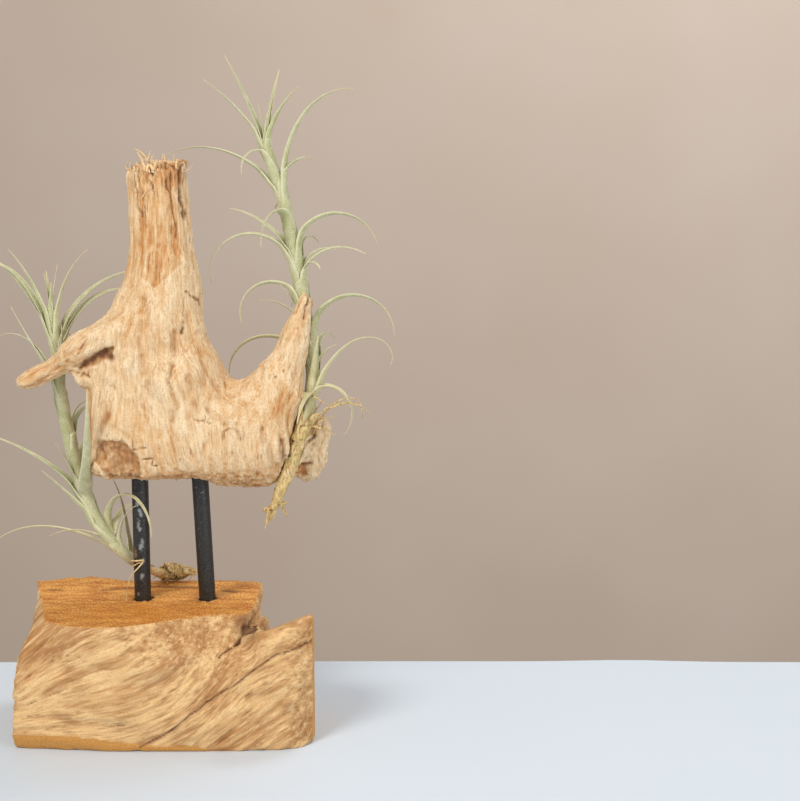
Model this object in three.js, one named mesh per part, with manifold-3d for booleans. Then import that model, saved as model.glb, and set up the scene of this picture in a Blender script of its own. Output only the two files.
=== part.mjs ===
// Two long-stemmed air plants on a driftwood stand. A weathered wooden block carries two painted steel rods,
// the rods carry one piece of driftwood, and the plants rest on the wood and lean against it.
// Millimetres, +Z up, +X to the right, -Y to the front. The origin is on the table, under the block's middle.
import * as THREE from "three";
import { mergeVertices } from "three/addons/utils/BufferGeometryUtils.js";
import Module from "manifold-3d";

const wasm = await Module();
wasm.setup();

// ---------------------------------------------------------------- driving dimensions
const ROD_DIAMETER = 12;
const ROD_SIDES = 24;
const ROD_IN_BLOCK = 30; // length of rod inside the block
const ROD_IN_DRIFTWOOD = 34; // length of rod inside the driftwood
const HOLE_CLEARANCE = 0.3; // between a rod and the wall or end of its hole
const SEAT = 0.3; // between pieces that rest on each other
const BLOCK_TOP = 90; // height of the sawn top of the block
const DRIFTWOOD_UNDERSIDE = 181; // height of the driftwood's underside at the rods
const ROD_FOOT = { left: [-23.1, 7.5], right: [24.1, 7.5] }; // where the rods leave the block: x and y
const ROD_LEAN = { left: 0.3, right: -2.15 }; // degrees towards +X

const UP = new THREE.Vector3(0, 0, 1);
const degrees = THREE.MathUtils.degToRad;
const lerp = THREE.MathUtils.lerp;
const clamp = THREE.MathUtils.clamp;
const smoothstep = THREE.MathUtils.smoothstep;

const finishes = {
  sawnWood: new THREE.MeshStandardMaterial({ color: 0xc9965c, roughness: 0.75, metalness: 0 }),
  driftwood: new THREE.MeshStandardMaterial({ color: 0xe4c195, roughness: 0.85, metalness: 0 }),
  blackPaint: new THREE.MeshStandardMaterial({ color: 0x1d1b1a, roughness: 0.5, metalness: 0.1 }),
  leaf: new THREE.MeshStandardMaterial({ color: 0xb4b184, roughness: 0.8, metalness: 0 }),
  dryLeaf: new THREE.MeshStandardMaterial({ color: 0xc9a878, roughness: 0.9, metalness: 0 }),
};

// ---------------------------------------------------------------- solids
function solidOf(geometry) {
  const bare = geometry.clone();
  for (const name of Object.keys(bare.attributes)) {
    if (name !== "position") bare.deleteAttribute(name);
  }
  const merged = mergeVertices(bare, 1e-4);
  return new wasm.Manifold(
    new wasm.Mesh({
      numProp: 3,
      vertProperties: new Float32Array(merged.attributes.position.array),
      triVerts: new Uint32Array(merged.index.array),
    }),
  );
}

function geometryOf(solid) {
  const mesh = solid.getMesh();
  const geometry = new THREE.BufferGeometry();
  geometry.setAttribute("position", new THREE.BufferAttribute(new Float32Array(mesh.vertProperties), 3));
  geometry.setIndex(new THREE.BufferAttribute(new Uint32Array(mesh.triVerts), 1));
  geometry.computeVertexNormals();
  return geometry;
}

function joined(solids) {
  return solids.reduce((sum, solid) => sum.add(solid));
}

function piece(name, solid, material) {
  const mesh = new THREE.Mesh(geometryOf(solid), material);
  mesh.name = name;
  return mesh;
}

// A closed skin over rings of points: each ring has the same count, and the ends are closed by fans.
function skin(rings) {
  const count = rings[0].length;
  const positions = rings.flat().flatMap((p) => [p.x, p.y, p.z]);
  const index = [];
  for (let r = 0; r + 1 < rings.length; r++) {
    for (let i = 0; i < count; i++) {
      const a = r * count + i;
      const b = r * count + ((i + 1) % count);
      index.push(a, b, b + count, a, b + count, a + count);
    }
  }
  const last = (rings.length - 1) * count;
  for (let i = 1; i + 1 < count; i++) {
    index.push(0, i + 1, i, last, last + i, last + i + 1);
  }
  const geometry = new THREE.BufferGeometry();
  geometry.setAttribute("position", new THREE.Float32BufferAttribute(positions, 3));
  geometry.setIndex(index);
  return geometry;
}

// ---------------------------------------------------------------- rods and their holes
function rodAxis(side) {
  const lean = degrees(ROD_LEAN[side]);
  const along = new THREE.Vector3(Math.sin(lean), 0, Math.cos(lean));
  return { foot: new THREE.Vector3(...ROD_FOOT[side], BLOCK_TOP), along };
}

function rodEnds() {
  return { from: -ROD_IN_BLOCK, to: DRIFTWOOD_UNDERSIDE - BLOCK_TOP + ROD_IN_DRIFTWOOD };
}

// A round bar on the rod's axis, from one distance to another along it.
function barOnAxis(side, radius, from, to) {
  const { foot, along } = rodAxis(side);
  const bar = new THREE.CylinderGeometry(radius, radius, to - from, ROD_SIDES);
  bar.rotateX(Math.PI / 2);
  bar.applyQuaternion(new THREE.Quaternion().setFromUnitVectors(UP, along));
  const middle = foot.clone().addScaledVector(along, (from + to) / 2);
  bar.translate(middle.x, middle.y, middle.z);
  return solidOf(bar);
}

function rod(side) {
  const { from, to } = rodEnds();
  return barOnAxis(side, ROD_DIAMETER / 2, from, to);
}

function rodHole(side) {
  const { from, to } = rodEnds();
  const radius = ROD_DIAMETER / 2 + HOLE_CLEARANCE;
  return barOnAxis(side, radius, from - HOLE_CLEARANCE, to + HOLE_CLEARANCE);
}

// ---------------------------------------------------------------- block
const BLOCK = {
  left: -106, // at the table
  right: 105, // at the front
  back: 62.5,
  front: -62.5, // where the rounded front bulges most, near the table
  frontAtTop: -59,
  middle: -8, // x of the bulge
  step: [62, 67], // where the sawn top ends and the lower right part begins
  ridge: [57, 80, 104, 96], // the lower part's front ridge: x and height at both ends
  rearFall: 0.42, // the lower part's top falls backwards by this slope
};
const BLOCK_GRID = [23, 7, 9];

// The left end leans in towards the top, more so at the front.
// v runs from front to back and w from the table up, both from 0 to 1.
function blockLeft(v, w) {
  const atTop = lerp(-84, -113, v);
  return lerp(BLOCK.left + 3 * w - 2 * v, atTop, w ** 6);
}

const blockRight = (v) => BLOCK.right - 5 * v;

// The front is a shallow arc in plan. At the top it draws back at the left corner and over the right shoulder.
function blockFront(x, w) {
  const bow = x < BLOCK.middle ? 0.0005 : 0.0006;
  const rightCorner = 12 * smoothstep(x, 90, 106);
  const low = BLOCK.front + bow * (x - BLOCK.middle) ** 2 + rightCorner;
  const leftCorner = 24 * (1 - smoothstep(x, -100, -56));
  const rightShoulder = 31 * smoothstep(x, -37, 42);
  const ridge = 5 + (x - 60) * 0.25;
  const high = BLOCK.frontAtTop + lerp(leftCorner + rightShoulder, ridge, smoothstep(x, ...BLOCK.step));
  return lerp(low, high, w ** 4);
}

// The back is fullest near the left corner.
function blockBack(x, w) {
  const leftCorner = 10 * (1 - smoothstep(x, -112, -82));
  const middle = 10 * smoothstep(x, -66, -38);
  const rightCorner = 34 * smoothstep(x, 48, 104);
  return BLOCK.back - leftCorner - middle - rightCorner - 3 * (1 - w) * Math.sin(x / 17);
}

function blockHeight(x, y) {
  const [x0, z0, x1, z1] = BLOCK.ridge;
  const ridge = lerp(z0, z1, clamp((x - x0) / (x1 - x0), 0, 1));
  const lower = ridge - BLOCK.rearFall * Math.max(0, y - blockFront(x, 1));
  return lerp(BLOCK_TOP, lower, smoothstep(x, ...BLOCK.step));
}

// Relief of the front: waves along the grain, and a fold that runs down from the notch.
function blockRelief(x, z) {
  const fromFold = (x - 44) * 0.86 - (z - 62) * 0.5;
  const fold = 7 * Math.exp(-((fromFold / 5) ** 2)) * smoothstep(z, 40, 75);
  const waves = 0.9 * Math.sin(z / 6 + x / 35) + 0.6 * Math.sin(z / 3.7 - x / 21);
  return fold + waves;
}

// A column of the grid that lies close to either side of the step moves onto it, so that the step stays steep.
function ontoStep(x) {
  const [from, to] = BLOCK.step;
  const reach = (BLOCK.right - BLOCK.left) / BLOCK_GRID[0] / 2;
  if (Math.abs(x - from + reach / 2) < reach) return from;
  if (Math.abs(x - to - reach / 2) < reach) return to;
  return x;
}

function block() {
  const geometry = new THREE.BoxGeometry(1, 1, 1, ...BLOCK_GRID);
  const position = geometry.attributes.position;
  for (let i = 0; i < position.count; i++) {
    const u = position.getX(i) + 0.5;
    const v = position.getY(i) + 0.5;
    const w = position.getZ(i) + 0.5;
    const x = ontoStep(lerp(blockLeft(v, w), blockRight(v), u));
    const sawn = smoothstep(w, 0, 0.1) * (1 - smoothstep(w, 0.9, 1)); // no relief at the sawn edges
    const front = blockFront(x, w) + blockRelief(x, w * BLOCK_TOP) * sawn;
    const y = lerp(front, blockBack(x, w), v);
    position.setXYZ(i, x, y, w * blockHeight(x, y));
  }
  return solidOf(geometry);
}

// A prism between two triangles, each given by its corners.
function wedge(first, second) {
  return solidOf(skin([first, second].map((ring) => ring.map((p) => new THREE.Vector3(...p)))));
}

// What is missing from the block: the notch beside the sawn top, the hollow flank behind it, the bevel
// along the lower left edge, two chips at the table and the drying crack across the top.
function blockCuts() {
  const notch = wedge(
    [[55, -75, 99], [69, -75, 99], [49, -75, 71]],
    [[61, -12, 99], [67, -12, 99], [62, -12, 82]],
  );
  const flank = wedge(
    [[63.5, -30, 92], [90, -30, 92], [57, -30, 72]],
    [[63.5, 70, 92], [90, 70, 92], [57, 70, 56]],
  );
  const bevel = wedge(
    [[-125, -80, -1], [-125, -52, -1], [-125, -62, 24]],
    [[-8, -90, -1], [-8, -63, -1], [-8, -73, 24]],
  );
  const chips = [[-62, 5], [-18, 7]].map(([x, width]) =>
    wedge(
      [[x + width, -70, -1], [x - width, -70, -1], [x, -70, 4]],
      [[x + 1, -52, -1], [x - 1, -52, -1], [x, -52, 0.5]],
    ),
  );
  const outline = new THREE.Shape();
  outline.moveTo(-49, 23);
  outline.quadraticCurveTo(-5, 32, 59, 23);
  outline.quadraticCurveTo(-5, 35.5, -49, 23);
  const crack = new THREE.ExtrudeGeometry(outline, { depth: 10, bevelEnabled: false, curveSegments: 10 });
  crack.translate(0, 0, BLOCK_TOP - 6);
  return [notch, flank, bevel, ...chips, solidOf(crack)];
}

// ---------------------------------------------------------------- air plants
// A plant is a stem, which is a smooth curve through a few points, and leaves that branch off along it.
// Sides are compass angles seen from above: 0 points to +X, 90 to the back, 180 to -X and 270 to the front.
const RIGHT_STEM = {
  points: [
    [72, -9, 154],
    [80, -10, 175],
    [87, -10, 193],
    [92, -8, 209],
    [97, -3, 223],
    [100.5, 4, 238],
    [102.5, 9, 252],
    [101.5, 16, 272],
    [97, 22, 297],
    [91, 25, 332],
    [84.5, 26, 368],
    [74.5, 25, 403],
    [68, 24, 421],
  ],
  radii: [2.4, 4, 5.2, 5.6, 5.6, 5.2, 5.2, 5.4, 5.5, 5.2, 4.8, 4.4, 3],
  dryLength: 85,
};
const LEFT_STEM = {
  points: [
    [11, 54, 97],
    [2, 55, 96.4],
    [-8, 54, 96.4],
    [-15, 43, 98.5],
    [-19, 30, 104],
    [-25, 19.5, 112],
    [-34, 14, 120],
    [-45.6, 9, 134],
    [-55.8, 9, 149],
    [-63.8, 11, 168],
    [-69.8, 14, 187],
    [-73.7, 15, 206],
    [-76.7, 14, 225],
    [-78.6, 11.5, 242],
    [-79, 11, 257],
    [-80.5, 11, 277],
    [-82, 11, 291],
    [-83, 11, 304],
  ],
  radii: [1, 4, 5.8, 5.4, 4, 3.8, 4, 4.6, 5, 5.2, 5.2, 5, 4.8, 4.6, 4.6, 4.6, 3.9, 1.8],
  dryLength: 62,
};
const STEM_SIDES = 8;
const STEM_STEP = 9;

// at: where the leaf starts, in mm along the stem; side: its compass angle; open: its first lean from upright
// in degrees; curl: how far it bends over; length in mm; hook: 1 bends evenly, more bends mostly near the tip;
// breadth: half its breadth at the stem, where it isn't the usual one.
const LEAF_COLUMNS = ["at", "side", "open", "curl", "length", "hook", "breadth"];
const RIGHT_LEAVES = [
  [271, 178, 16, 12, 73, 1],
  [276, 186, 28, 26, 62, 1],
  [273, 32, 0, 18, 58, 1],
  [275, 338, 4, 46, 50, 0.8],
  [269, 215, 30, 160, 32, 0.8],
  [243, 352, 6, 87, 98, 2],
  [247, 335, 5, 78, 31, 1],
  [250, 20, 6, 100, 34, 1],
  [246, 173, 44, 72, 90, 1.4],
  [201, 170, 44, 38, 54, 2],
  [192, 186, 28, 164, 88, 1.2],
  [226, 238, 50, 135, 44, 0.8],
  [201, 0, 6, 157, 80, 1],
  [178, 348, -2, 120, 60, 0.8],
  [184, 30, 10, 104, 38, 1],
  [176, 315, 2, 150, 32, 1.6],
  [163, 182, 20, 178, 68, 1],
  [148, 176, 20, 22, 34, 1],
  [146, 172, 38, 60, 38, 1.6],
  [126, 164, 60, 118, 78, 1.6],
  [139, 356, 6, 176, 91, 1.1],
  [98, 355, 30, 182, 88, 2.8],
  [94, 340, 5, 218, 60, 0.7],
  [100, 300, 8, 10, 40, 1, 6],
  [109, 340, 0, 66, 30, 1],
  [95, 256, 92, 50, 34, 1],
];
const LEFT_LEAVES = [
  [249, 180, 22, 92, 80, 3.2],
  [250, 172, 27, 30, 73, 2],
  [254, 196, 17, 22, 65, 2],
  [254, 150, 1, 5, 43, 1],
  [254, 352, 8, 42, 65, 1.8],
  [246, 20, 19, 72, 88, 1.2],
  [241, 20, 26, 112, 86, 2],
  [236, 30, 16, 106, 82, 1.8],
  [234, 325, 28, -40, 26, 1],
  [215, 176, 32, -6, 64, 1],
  [217, 166, 26, 88, 60, 2.2],
  [130, 184, 34, 38, 90, 0.8],
  [110, 196, 38, 6, 54, 1, 6.5],
  [138, 208, 19, 11, 38, 1],
  [132, 287, 54, -50, 100, 1, 6],
  [176, 325, -4, 86, 33, 2.2],
  [90, 318, -58, 240, 96, 0.9],
  [74, 182, 59, 72, 106, 2],
  [77, 200, 42, 70, 60, 1.6],
  [84, 322, -16, 80, 42, 1],
  [72, 170, 4, 22, 62, 2.6],
  [113, 190, 40, -80, 32, 1],
];
const RIGHT_DRY_LEAVES = [
  [72, 342, 50, 104, 56, 2.6],
  [68, 325, 60, 60, 28, 1],
  [60, 304, 8, 12, 24, 1, 5],
  [42, 304, 12, 12, 26, 1, 4.6],
  [26, 300, 12, 10, 26, 1, 5],
  [8, 205, 170, -25, 15, 1],
  [14, 340, 140, 20, 14, 1],
];
// Leaves round the back, which fill the spiral: they start at the first distance and follow at even steps.
const RIGHT_BACK = { from: 122, step: 24, count: 6, open: 30, curl: 95, length: 50 };
const LEFT_BACK = { from: 96, step: 27, count: 6, open: 28, curl: 85, length: 48 };
const BACK_SIDES = [72, 108, 90];

const LEAF_BREADTH = 5.2; // half the breadth of a leaf where it clasps the stem
const LEAF_TIP = 0.5;
const LEAF_THICKNESS = 1.3; // at the midrib; the margins are thin
const CUP = [1.15, 0.85]; // how far the margins fold up, at the stem and at the tip, in radians
const ROLL = 24; // most that a leaf turns about its own length, in degrees

function stemCurve(stem) {
  return new THREE.CatmullRomCurve3(stem.points.map((p) => new THREE.Vector3(...p)), false, "centripetal");
}

function stemRadius(stem, share) {
  const place = share * (stem.radii.length - 1);
  const low = Math.min(Math.floor(place), stem.radii.length - 2);
  return lerp(stem.radii[low], stem.radii[low + 1], place - low);
}

// The stretch of the stem between two distances along it, as a round tube.
function stemTube(stem, from, to) {
  const curve = stemCurve(stem);
  const length = curve.getLength();
  const steps = Math.ceil((to - from) / STEM_STEP);
  const rings = [];
  for (let i = 0; i <= steps; i++) {
    const u = clamp(lerp(from, to, i / steps) / length, 0, 1);
    const middle = curve.getPointAt(u);
    const along = curve.getTangentAt(u);
    const across = new THREE.Vector3(0.2, -1, 0.1).cross(along).normalize();
    const third = new THREE.Vector3().crossVectors(along, across);
    const radius = stemRadius(stem, curve.getUtoTmapping(u));
    const ring = [];
    for (let k = 0; k < STEM_SIDES; k++) {
      const turn = (2 * Math.PI * k) / STEM_SIDES;
      const point = middle.clone().addScaledVector(across, radius * Math.cos(turn));
      ring.push(point.addScaledVector(third, radius * Math.sin(turn)));
    }
    rings.push(ring);
  }
  return solidOf(skin(rings));
}

// One channelled leaf: a blade that starts in the stem, follows its curl and narrows to a fine tip.
function leafBlade(stem, row) {
  const leaf = Object.fromEntries(LEAF_COLUMNS.map((name, i) => [name, row[i]]));
  const curve = stemCurve(stem);
  const u = leaf.at / curve.getLength();
  const side = degrees(leaf.side);
  const outward = new THREE.Vector3(Math.cos(side), Math.sin(side), 0);
  const across = new THREE.Vector3(-Math.sin(side), Math.cos(side), 0);
  const radius = stemRadius(stem, curve.getUtoTmapping(u));
  const middle = curve.getPointAt(u).addScaledVector(outward, radius * 0.5);
  const breadth = leaf.breadth ?? LEAF_BREADTH * clamp(leaf.length / 70, 0.5, 1.1) ** 0.7;
  const steps = Math.round(clamp(leaf.length / 12 + Math.abs(leaf.curl) / 30, 4, 11));
  const rings = [];
  for (let i = 0; i <= steps; i++) {
    const s = i / steps;
    const bend = degrees(leaf.open + leaf.curl * s ** leaf.hook);
    const along = outward.clone().multiplyScalar(Math.sin(bend)).addScaledVector(UP, Math.cos(bend));
    const inner = outward.clone().multiplyScalar(-Math.cos(bend)).addScaledVector(UP, Math.sin(bend));
    if (i) middle.addScaledVector(along, leaf.length / steps);
    const roll = degrees(ROLL * Math.sin(leaf.at * 2.4 + leaf.side)) * Math.min(1, s * 3);
    const flank = across.clone().multiplyScalar(Math.cos(roll)).addScaledVector(inner, Math.sin(roll));
    const face = inner.clone().multiplyScalar(Math.cos(roll)).addScaledVector(across, -Math.sin(roll));
    const half = breadth * (0.5 * (1 - s) ** 0.8 + 0.5 * Math.exp(-7 * s)) + LEAF_TIP;
    const cup = lerp(CUP[0], CUP[1], Math.min(1, s * 3));
    const thick = lerp(LEAF_THICKNESS, 0.8, s) / 2;
    const rise = half * Math.sin(cup);
    const reach = half * Math.cos(cup);
    rings.push([
      middle.clone().addScaledVector(face, -thick),
      middle.clone().addScaledVector(flank, reach).addScaledVector(face, rise),
      middle.clone().addScaledVector(face, thick),
      middle.clone().addScaledVector(flank, -reach).addScaledVector(face, rise),
    ]);
  }
  return solidOf(skin(rings));
}

function backLeaves({ from, step, count, open, curl, length }) {
  return Array.from({ length: count }, (_, i) => [from + i * step, BACK_SIDES[i % 3], open, curl, length, 1]);
}

// The closed young leaves at the tip of a stem, as one long bud.
const BUD = { radius: 5.4, halfLength: 12, below: 3 };

function bud(stem) {
  const shape = new THREE.SphereGeometry(1, 10, 8);
  shape.rotateX(Math.PI / 2);
  shape.scale(BUD.radius, BUD.radius, BUD.halfLength);
  const [x, y, z] = stem.points.at(-1);
  shape.translate(x, y, z - BUD.below);
  return solidOf(shape);
}

function shoot(stem, leaves) {
  const length = stemCurve(stem).getLength();
  const tube = stemTube(stem, stem.dryLength + SEAT, length);
  return joined([tube, bud(stem), ...leaves.map((row) => leafBlade(stem, row))]);
}

function dryPart(stem, leaves) {
  return joined([stemTube(stem, 0, stem.dryLength), ...leaves.map((row) => leafBlade(stem, row))]);
}

// A dry root of the left plant: round the left of the rod, across its front and down onto the block.
const ROOT = {
  points: [
    [-21, 25, 107],
    [-28, 17, 106],
    [-32.5, 8, 108],
    [-31.5, 1, 112],
    [-26, -1.5, 113],
    [-25.5, -2.6, 109],
    [-31, -2.6, 103],
    [-34, -3, 96],
    [-36, -4, 91.6],
  ],
  radius: 1,
  sides: 5,
  steps: 16,
};

function root() {
  const curve = new THREE.CatmullRomCurve3(ROOT.points.map((p) => new THREE.Vector3(...p)));
  const section = new THREE.Shape().absarc(0, 0, ROOT.radius, 0, 2 * Math.PI);
  const strand = new THREE.ExtrudeGeometry(section, {
    steps: ROOT.steps,
    curveSegments: ROOT.sides,
    extrudePath: curve,
  });
  return solidOf(strand);
}

// ---------------------------------------------------------------- driftwood
// Thick strokes that melt into each other: their ends, the radius at both, and how flat they are in depth.
const STROKES = [
  { name: "trunk", from: [-3.4, 6, 398], to: [-2, 6, 335], radii: [20.5, 21.5], flat: 1.15 },
  { name: "flare", from: [-2, 6, 330], to: [-10, 5, 285], radii: [22, 32], flat: 1.15 },
  { name: "right flank", from: [10, 5, 318], to: [16, 5, 262], radii: [13.5, 15], flat: 1 },
  { name: "body left", from: [-26, 5, 262], to: [-28, 5, 196], radii: [30, 31], flat: 1.05 },
  { name: "body middle", from: [5, 5, 250], to: [12, 6, 205], radii: [34, 34], flat: 1.05 },
  { name: "body right", from: [25, 5, 218], to: [62, 3, 208], radii: [36, 33], flat: 1.1 },
  { name: "saddle", from: [46, 4, 236], to: [76, 3, 254], radii: [11, 12], flat: 1 },
  { name: "shoulder", from: [60, 3, 222], to: [78, 3, 235], radii: [25, 19], flat: 1 },
  { name: "horn", from: [80, 3, 244], to: [99.5, 3, 309.5], radii: [16, 5.6], flat: 1 },
  { name: "arm", from: [-40, -1, 286], to: [-99, -6, 252], radii: [11, 6.3], flat: 1 },
  { name: "arm root", from: [-62, -9, 273], to: [-32, -15, 290], radii: [10, 8], flat: 1 },
  { name: "stub", from: [-48, -6, 260], to: [-58, -8, 254], radii: [9, 5], flat: 1 },
  { name: "lobe neck", from: [76, 24, 208], to: [100, 22, 210], radii: [16, 12], flat: 1 },
  { name: "lobe", from: [104, 20, 213], to: [98.5, 18, 190], radii: [9, 12.5], flat: 1 },
];
const STROKE_BLEND = 9;
const RIM = 4.5; // how softly hollows and the underside are rounded off
const NET_CELL = 6.5;
const NET_BOX = { low: [-124, -52, 158], high: [130, 64, 424] };

function strokeDistance(p, stroke) {
  const [ax, ay, az] = stroke.from;
  const [bx, by, bz] = stroke.to;
  const f = stroke.flat;
  const d = [bx - ax, (by - ay) * f, bz - az];
  const q = [p[0] - ax, (p[1] - ay) * f, p[2] - az];
  const t = clamp((q[0] * d[0] + q[1] * d[1] + q[2] * d[2]) / (d[0] ** 2 + d[1] ** 2 + d[2] ** 2), 0, 1);
  const away = Math.hypot(q[0] - t * d[0], q[1] - t * d[1], q[2] - t * d[2]);
  return away - lerp(stroke.radii[0], stroke.radii[1], t);
}

function smoothMin(a, b, k) {
  const h = Math.max(k - Math.abs(a - b), 0) / k;
  return Math.min(a, b) - (h * h * k) / 4;
}

const smoothMax = (a, b, k) => -smoothMin(-a, -b, k);

// Hollows that rain and sand have worn: centre, the three half sizes and how far their rims are softened.
const HOLLOWS = [
  { at: [-36, -33, 202], size: [20, 12, 8] },
  { at: [-8, -34, 200], size: [16, 9, 12] },
  { at: [-40, -27, 269], size: [14, 8, 6] },
  { at: [58, -36, 214], size: [8, 10, 20] },
  { at: [24, -38, 226], size: [7, 9, 22] },
];

function hollowDistance(p, hollow) {
  const q = p.map((c, i) => (c - hollow.at[i]) / hollow.size[i]);
  return (Math.hypot(...q) - 1) * Math.min(...hollow.size);
}

// The underside sags to the right of the rods and rises again towards the lobe. It is a little higher in front.
function underside(x, y) {
  return DRIFTWOOD_UNDERSIDE + 2 - 0.18 * y - 19 * smoothstep(x, 26, 47) + 9 * smoothstep(x, 66, 92);
}

const BREAK = { height: 404, slope: 0.12 }; // the trunk is broken off here, a little higher to the right

function grainRelief(p) {
  const trunk = smoothstep(p[2], 300, 340);
  const turn = Math.atan2(p[1] - 6, p[0] + 3);
  const flutes = 0.8 * Math.sin(turn * 7 + p[2] / 60);
  const lumps = 1.3 * Math.sin(p[0] / 9 + p[2] / 26) * Math.sin(p[2] / 11 - p[0] / 31 + p[1] / 14);
  return lerp(lumps, flutes, trunk);
}

// Stems lie in channels that are worn into the wood: how far a point is outside both stems.
const CHANNEL_GAP = 1.4;
const stemBeads = [RIGHT_STEM, LEFT_STEM].flatMap((stem) => {
  const curve = stemCurve(stem);
  return Array.from({ length: 61 }, (_, i) => {
    const middle = curve.getPointAt(i / 60);
    return [middle.x, middle.y, middle.z, stemRadius(stem, curve.getUtoTmapping(i / 60))];
  });
});

function channelDistance(p) {
  let d = 1e3;
  for (const [x, y, z, radius] of stemBeads) {
    d = Math.min(d, Math.hypot(p[0] - x, p[1] - y, p[2] - z) - radius - CHANNEL_GAP);
  }
  return d;
}

function driftwoodField(p) {
  let d = 1e3;
  for (const stroke of STROKES) {
    d = smoothMin(d, strokeDistance(p, stroke), STROKE_BLEND);
  }
  d += grainRelief(p);
  for (const hollow of HOLLOWS) {
    d = smoothMax(d, -hollowDistance(p, hollow), RIM);
  }
  d = smoothMax(d, -channelDistance(p), 1.5);
  d = smoothMax(d, underside(p[0], p[1]) - p[2], RIM);
  return smoothMax(d, p[2] - BREAK.height - BREAK.slope * p[0], 3);
}

// The surface where the field is zero, as one closed net: a point in each cell that it crosses.
function netOf(field, box, cell) {
  const n = box.low.map((c, i) => Math.ceil((box.high[i] - c) / cell));
  const at = (i, j, k) => (k * (n[1] + 1) + j) * (n[0] + 1) + i;
  const value = new Float64Array((n[0] + 1) * (n[1] + 1) * (n[2] + 1));
  const corner = (i, j, k) => [box.low[0] + i * cell, box.low[1] + j * cell, box.low[2] + k * cell];
  for (let k = 0; k <= n[2]; k++) {
    for (let j = 0; j <= n[1]; j++) {
      for (let i = 0; i <= n[0]; i++) value[at(i, j, k)] = field(corner(i, j, k));
    }
  }
  const points = [];
  const pointOf = new Map();
  const edges = [];
  for (let c = 0; c < 8; c++) {
    for (let axis = 0; axis < 3; axis++) {
      if (!((c >> axis) & 1)) edges.push([c, c | (1 << axis)]);
    }
  }
  for (let k = 0; k < n[2]; k++) {
    for (let j = 0; j < n[1]; j++) {
      for (let i = 0; i < n[0]; i++) {
        const sum = [0, 0, 0];
        let crossings = 0;
        for (const [a, b] of edges) {
          const ca = [i + (a & 1), j + ((a >> 1) & 1), k + ((a >> 2) & 1)];
          const cb = [i + (b & 1), j + ((b >> 1) & 1), k + ((b >> 2) & 1)];
          const va = value[at(...ca)];
          const vb = value[at(...cb)];
          if (va < 0 === vb < 0) continue;
          const t = va / (va - vb);
          for (let m = 0; m < 3; m++) sum[m] += lerp(ca[m], cb[m], t);
          crossings++;
        }
        if (!crossings) continue;
        pointOf.set(at(i, j, k), points.length);
        points.push(sum.map((s, m) => box.low[m] + (s / crossings) * cell));
      }
    }
  }
  const index = [];
  const quad = (a, b, c, d, flip) => {
    if (flip) index.push(a, c, b, a, d, c);
    else index.push(a, b, c, a, c, d);
  };
  const step = [
    [1, 0, 0],
    [0, 1, 0],
    [0, 0, 1],
  ];
  for (let k = 1; k < n[2]; k++) {
    for (let j = 1; j < n[1]; j++) {
      for (let i = 1; i < n[0]; i++) {
        for (let axis = 0; axis < 3; axis++) {
          const next = [i + step[axis][0], j + step[axis][1], k + step[axis][2]];
          const inside = value[at(i, j, k)] < 0;
          if (inside === value[at(...next)] < 0) continue;
          const b = step[(axis + 1) % 3];
          const c = step[(axis + 2) % 3];
          const cellPoint = (s, t) =>
            pointOf.get(at(i - s * b[0] - t * c[0], j - s * b[1] - t * c[1], k - s * b[2] - t * c[2]));
          quad(cellPoint(0, 0), cellPoint(1, 0), cellPoint(1, 1), cellPoint(0, 1), !inside);
        }
      }
    }
  }
  const geometry = new THREE.BufferGeometry();
  const settled = points.flatMap((p) => onto(field, p));
  geometry.setAttribute("position", new THREE.Float32BufferAttribute(settled, 3));
  geometry.setIndex(index);
  return geometry;
}

// Moves a point onto the field's zero surface, by short steps along the slope.
function onto(field, start) {
  const h = 0.5;
  let p = start;
  for (let pass = 0; pass < 2; pass++) {
    const slope = p.map((c, m) => {
      const ahead = [...p];
      const behind = [...p];
      ahead[m] += h;
      behind[m] -= h;
      return (field(ahead) - field(behind)) / (2 * h);
    });
    const steep = slope[0] ** 2 + slope[1] ** 2 + slope[2] ** 2 || 1;
    const move = clamp(field(p) / steep, -1.5, 1.5);
    p = p.map((c, m) => c - move * slope[m]);
  }
  return p;
}

// Splinters that stand up round the broken end of the trunk, as thin four-sided spikes.
const GOLDEN_ANGLE = 2.4; // it spreads them evenly
const SPLINTERS = { count: 15, top: 395, middle: [-3.4, 6], spread: [17.5, 14], radius: 2.6, lean: 0.35 };

function splinters() {
  const { count, top, middle, spread, radius, lean } = SPLINTERS;
  return Array.from({ length: count }, (_, i) => {
    const turn = i * GOLDEN_ANGLE;
    const out = Math.sqrt((i + 1) / count);
    const height = 12 + 5 * Math.abs(Math.sin(i * 1.7)) + 2 * Math.cos(turn + 2.6);
    const spike = new THREE.ConeGeometry(radius, height, 4);
    spike.rotateX(Math.PI / 2);
    spike.translate(0, 0, height / 2);
    spike.rotateY(out * lean * Math.cos(turn));
    spike.rotateX(-out * lean * Math.sin(turn));
    const x = middle[0] + spread[0] * out * Math.cos(turn);
    const y = middle[1] + spread[1] * out * Math.sin(turn);
    spike.translate(x, y, top);
    return solidOf(spike);
  });
}

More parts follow.
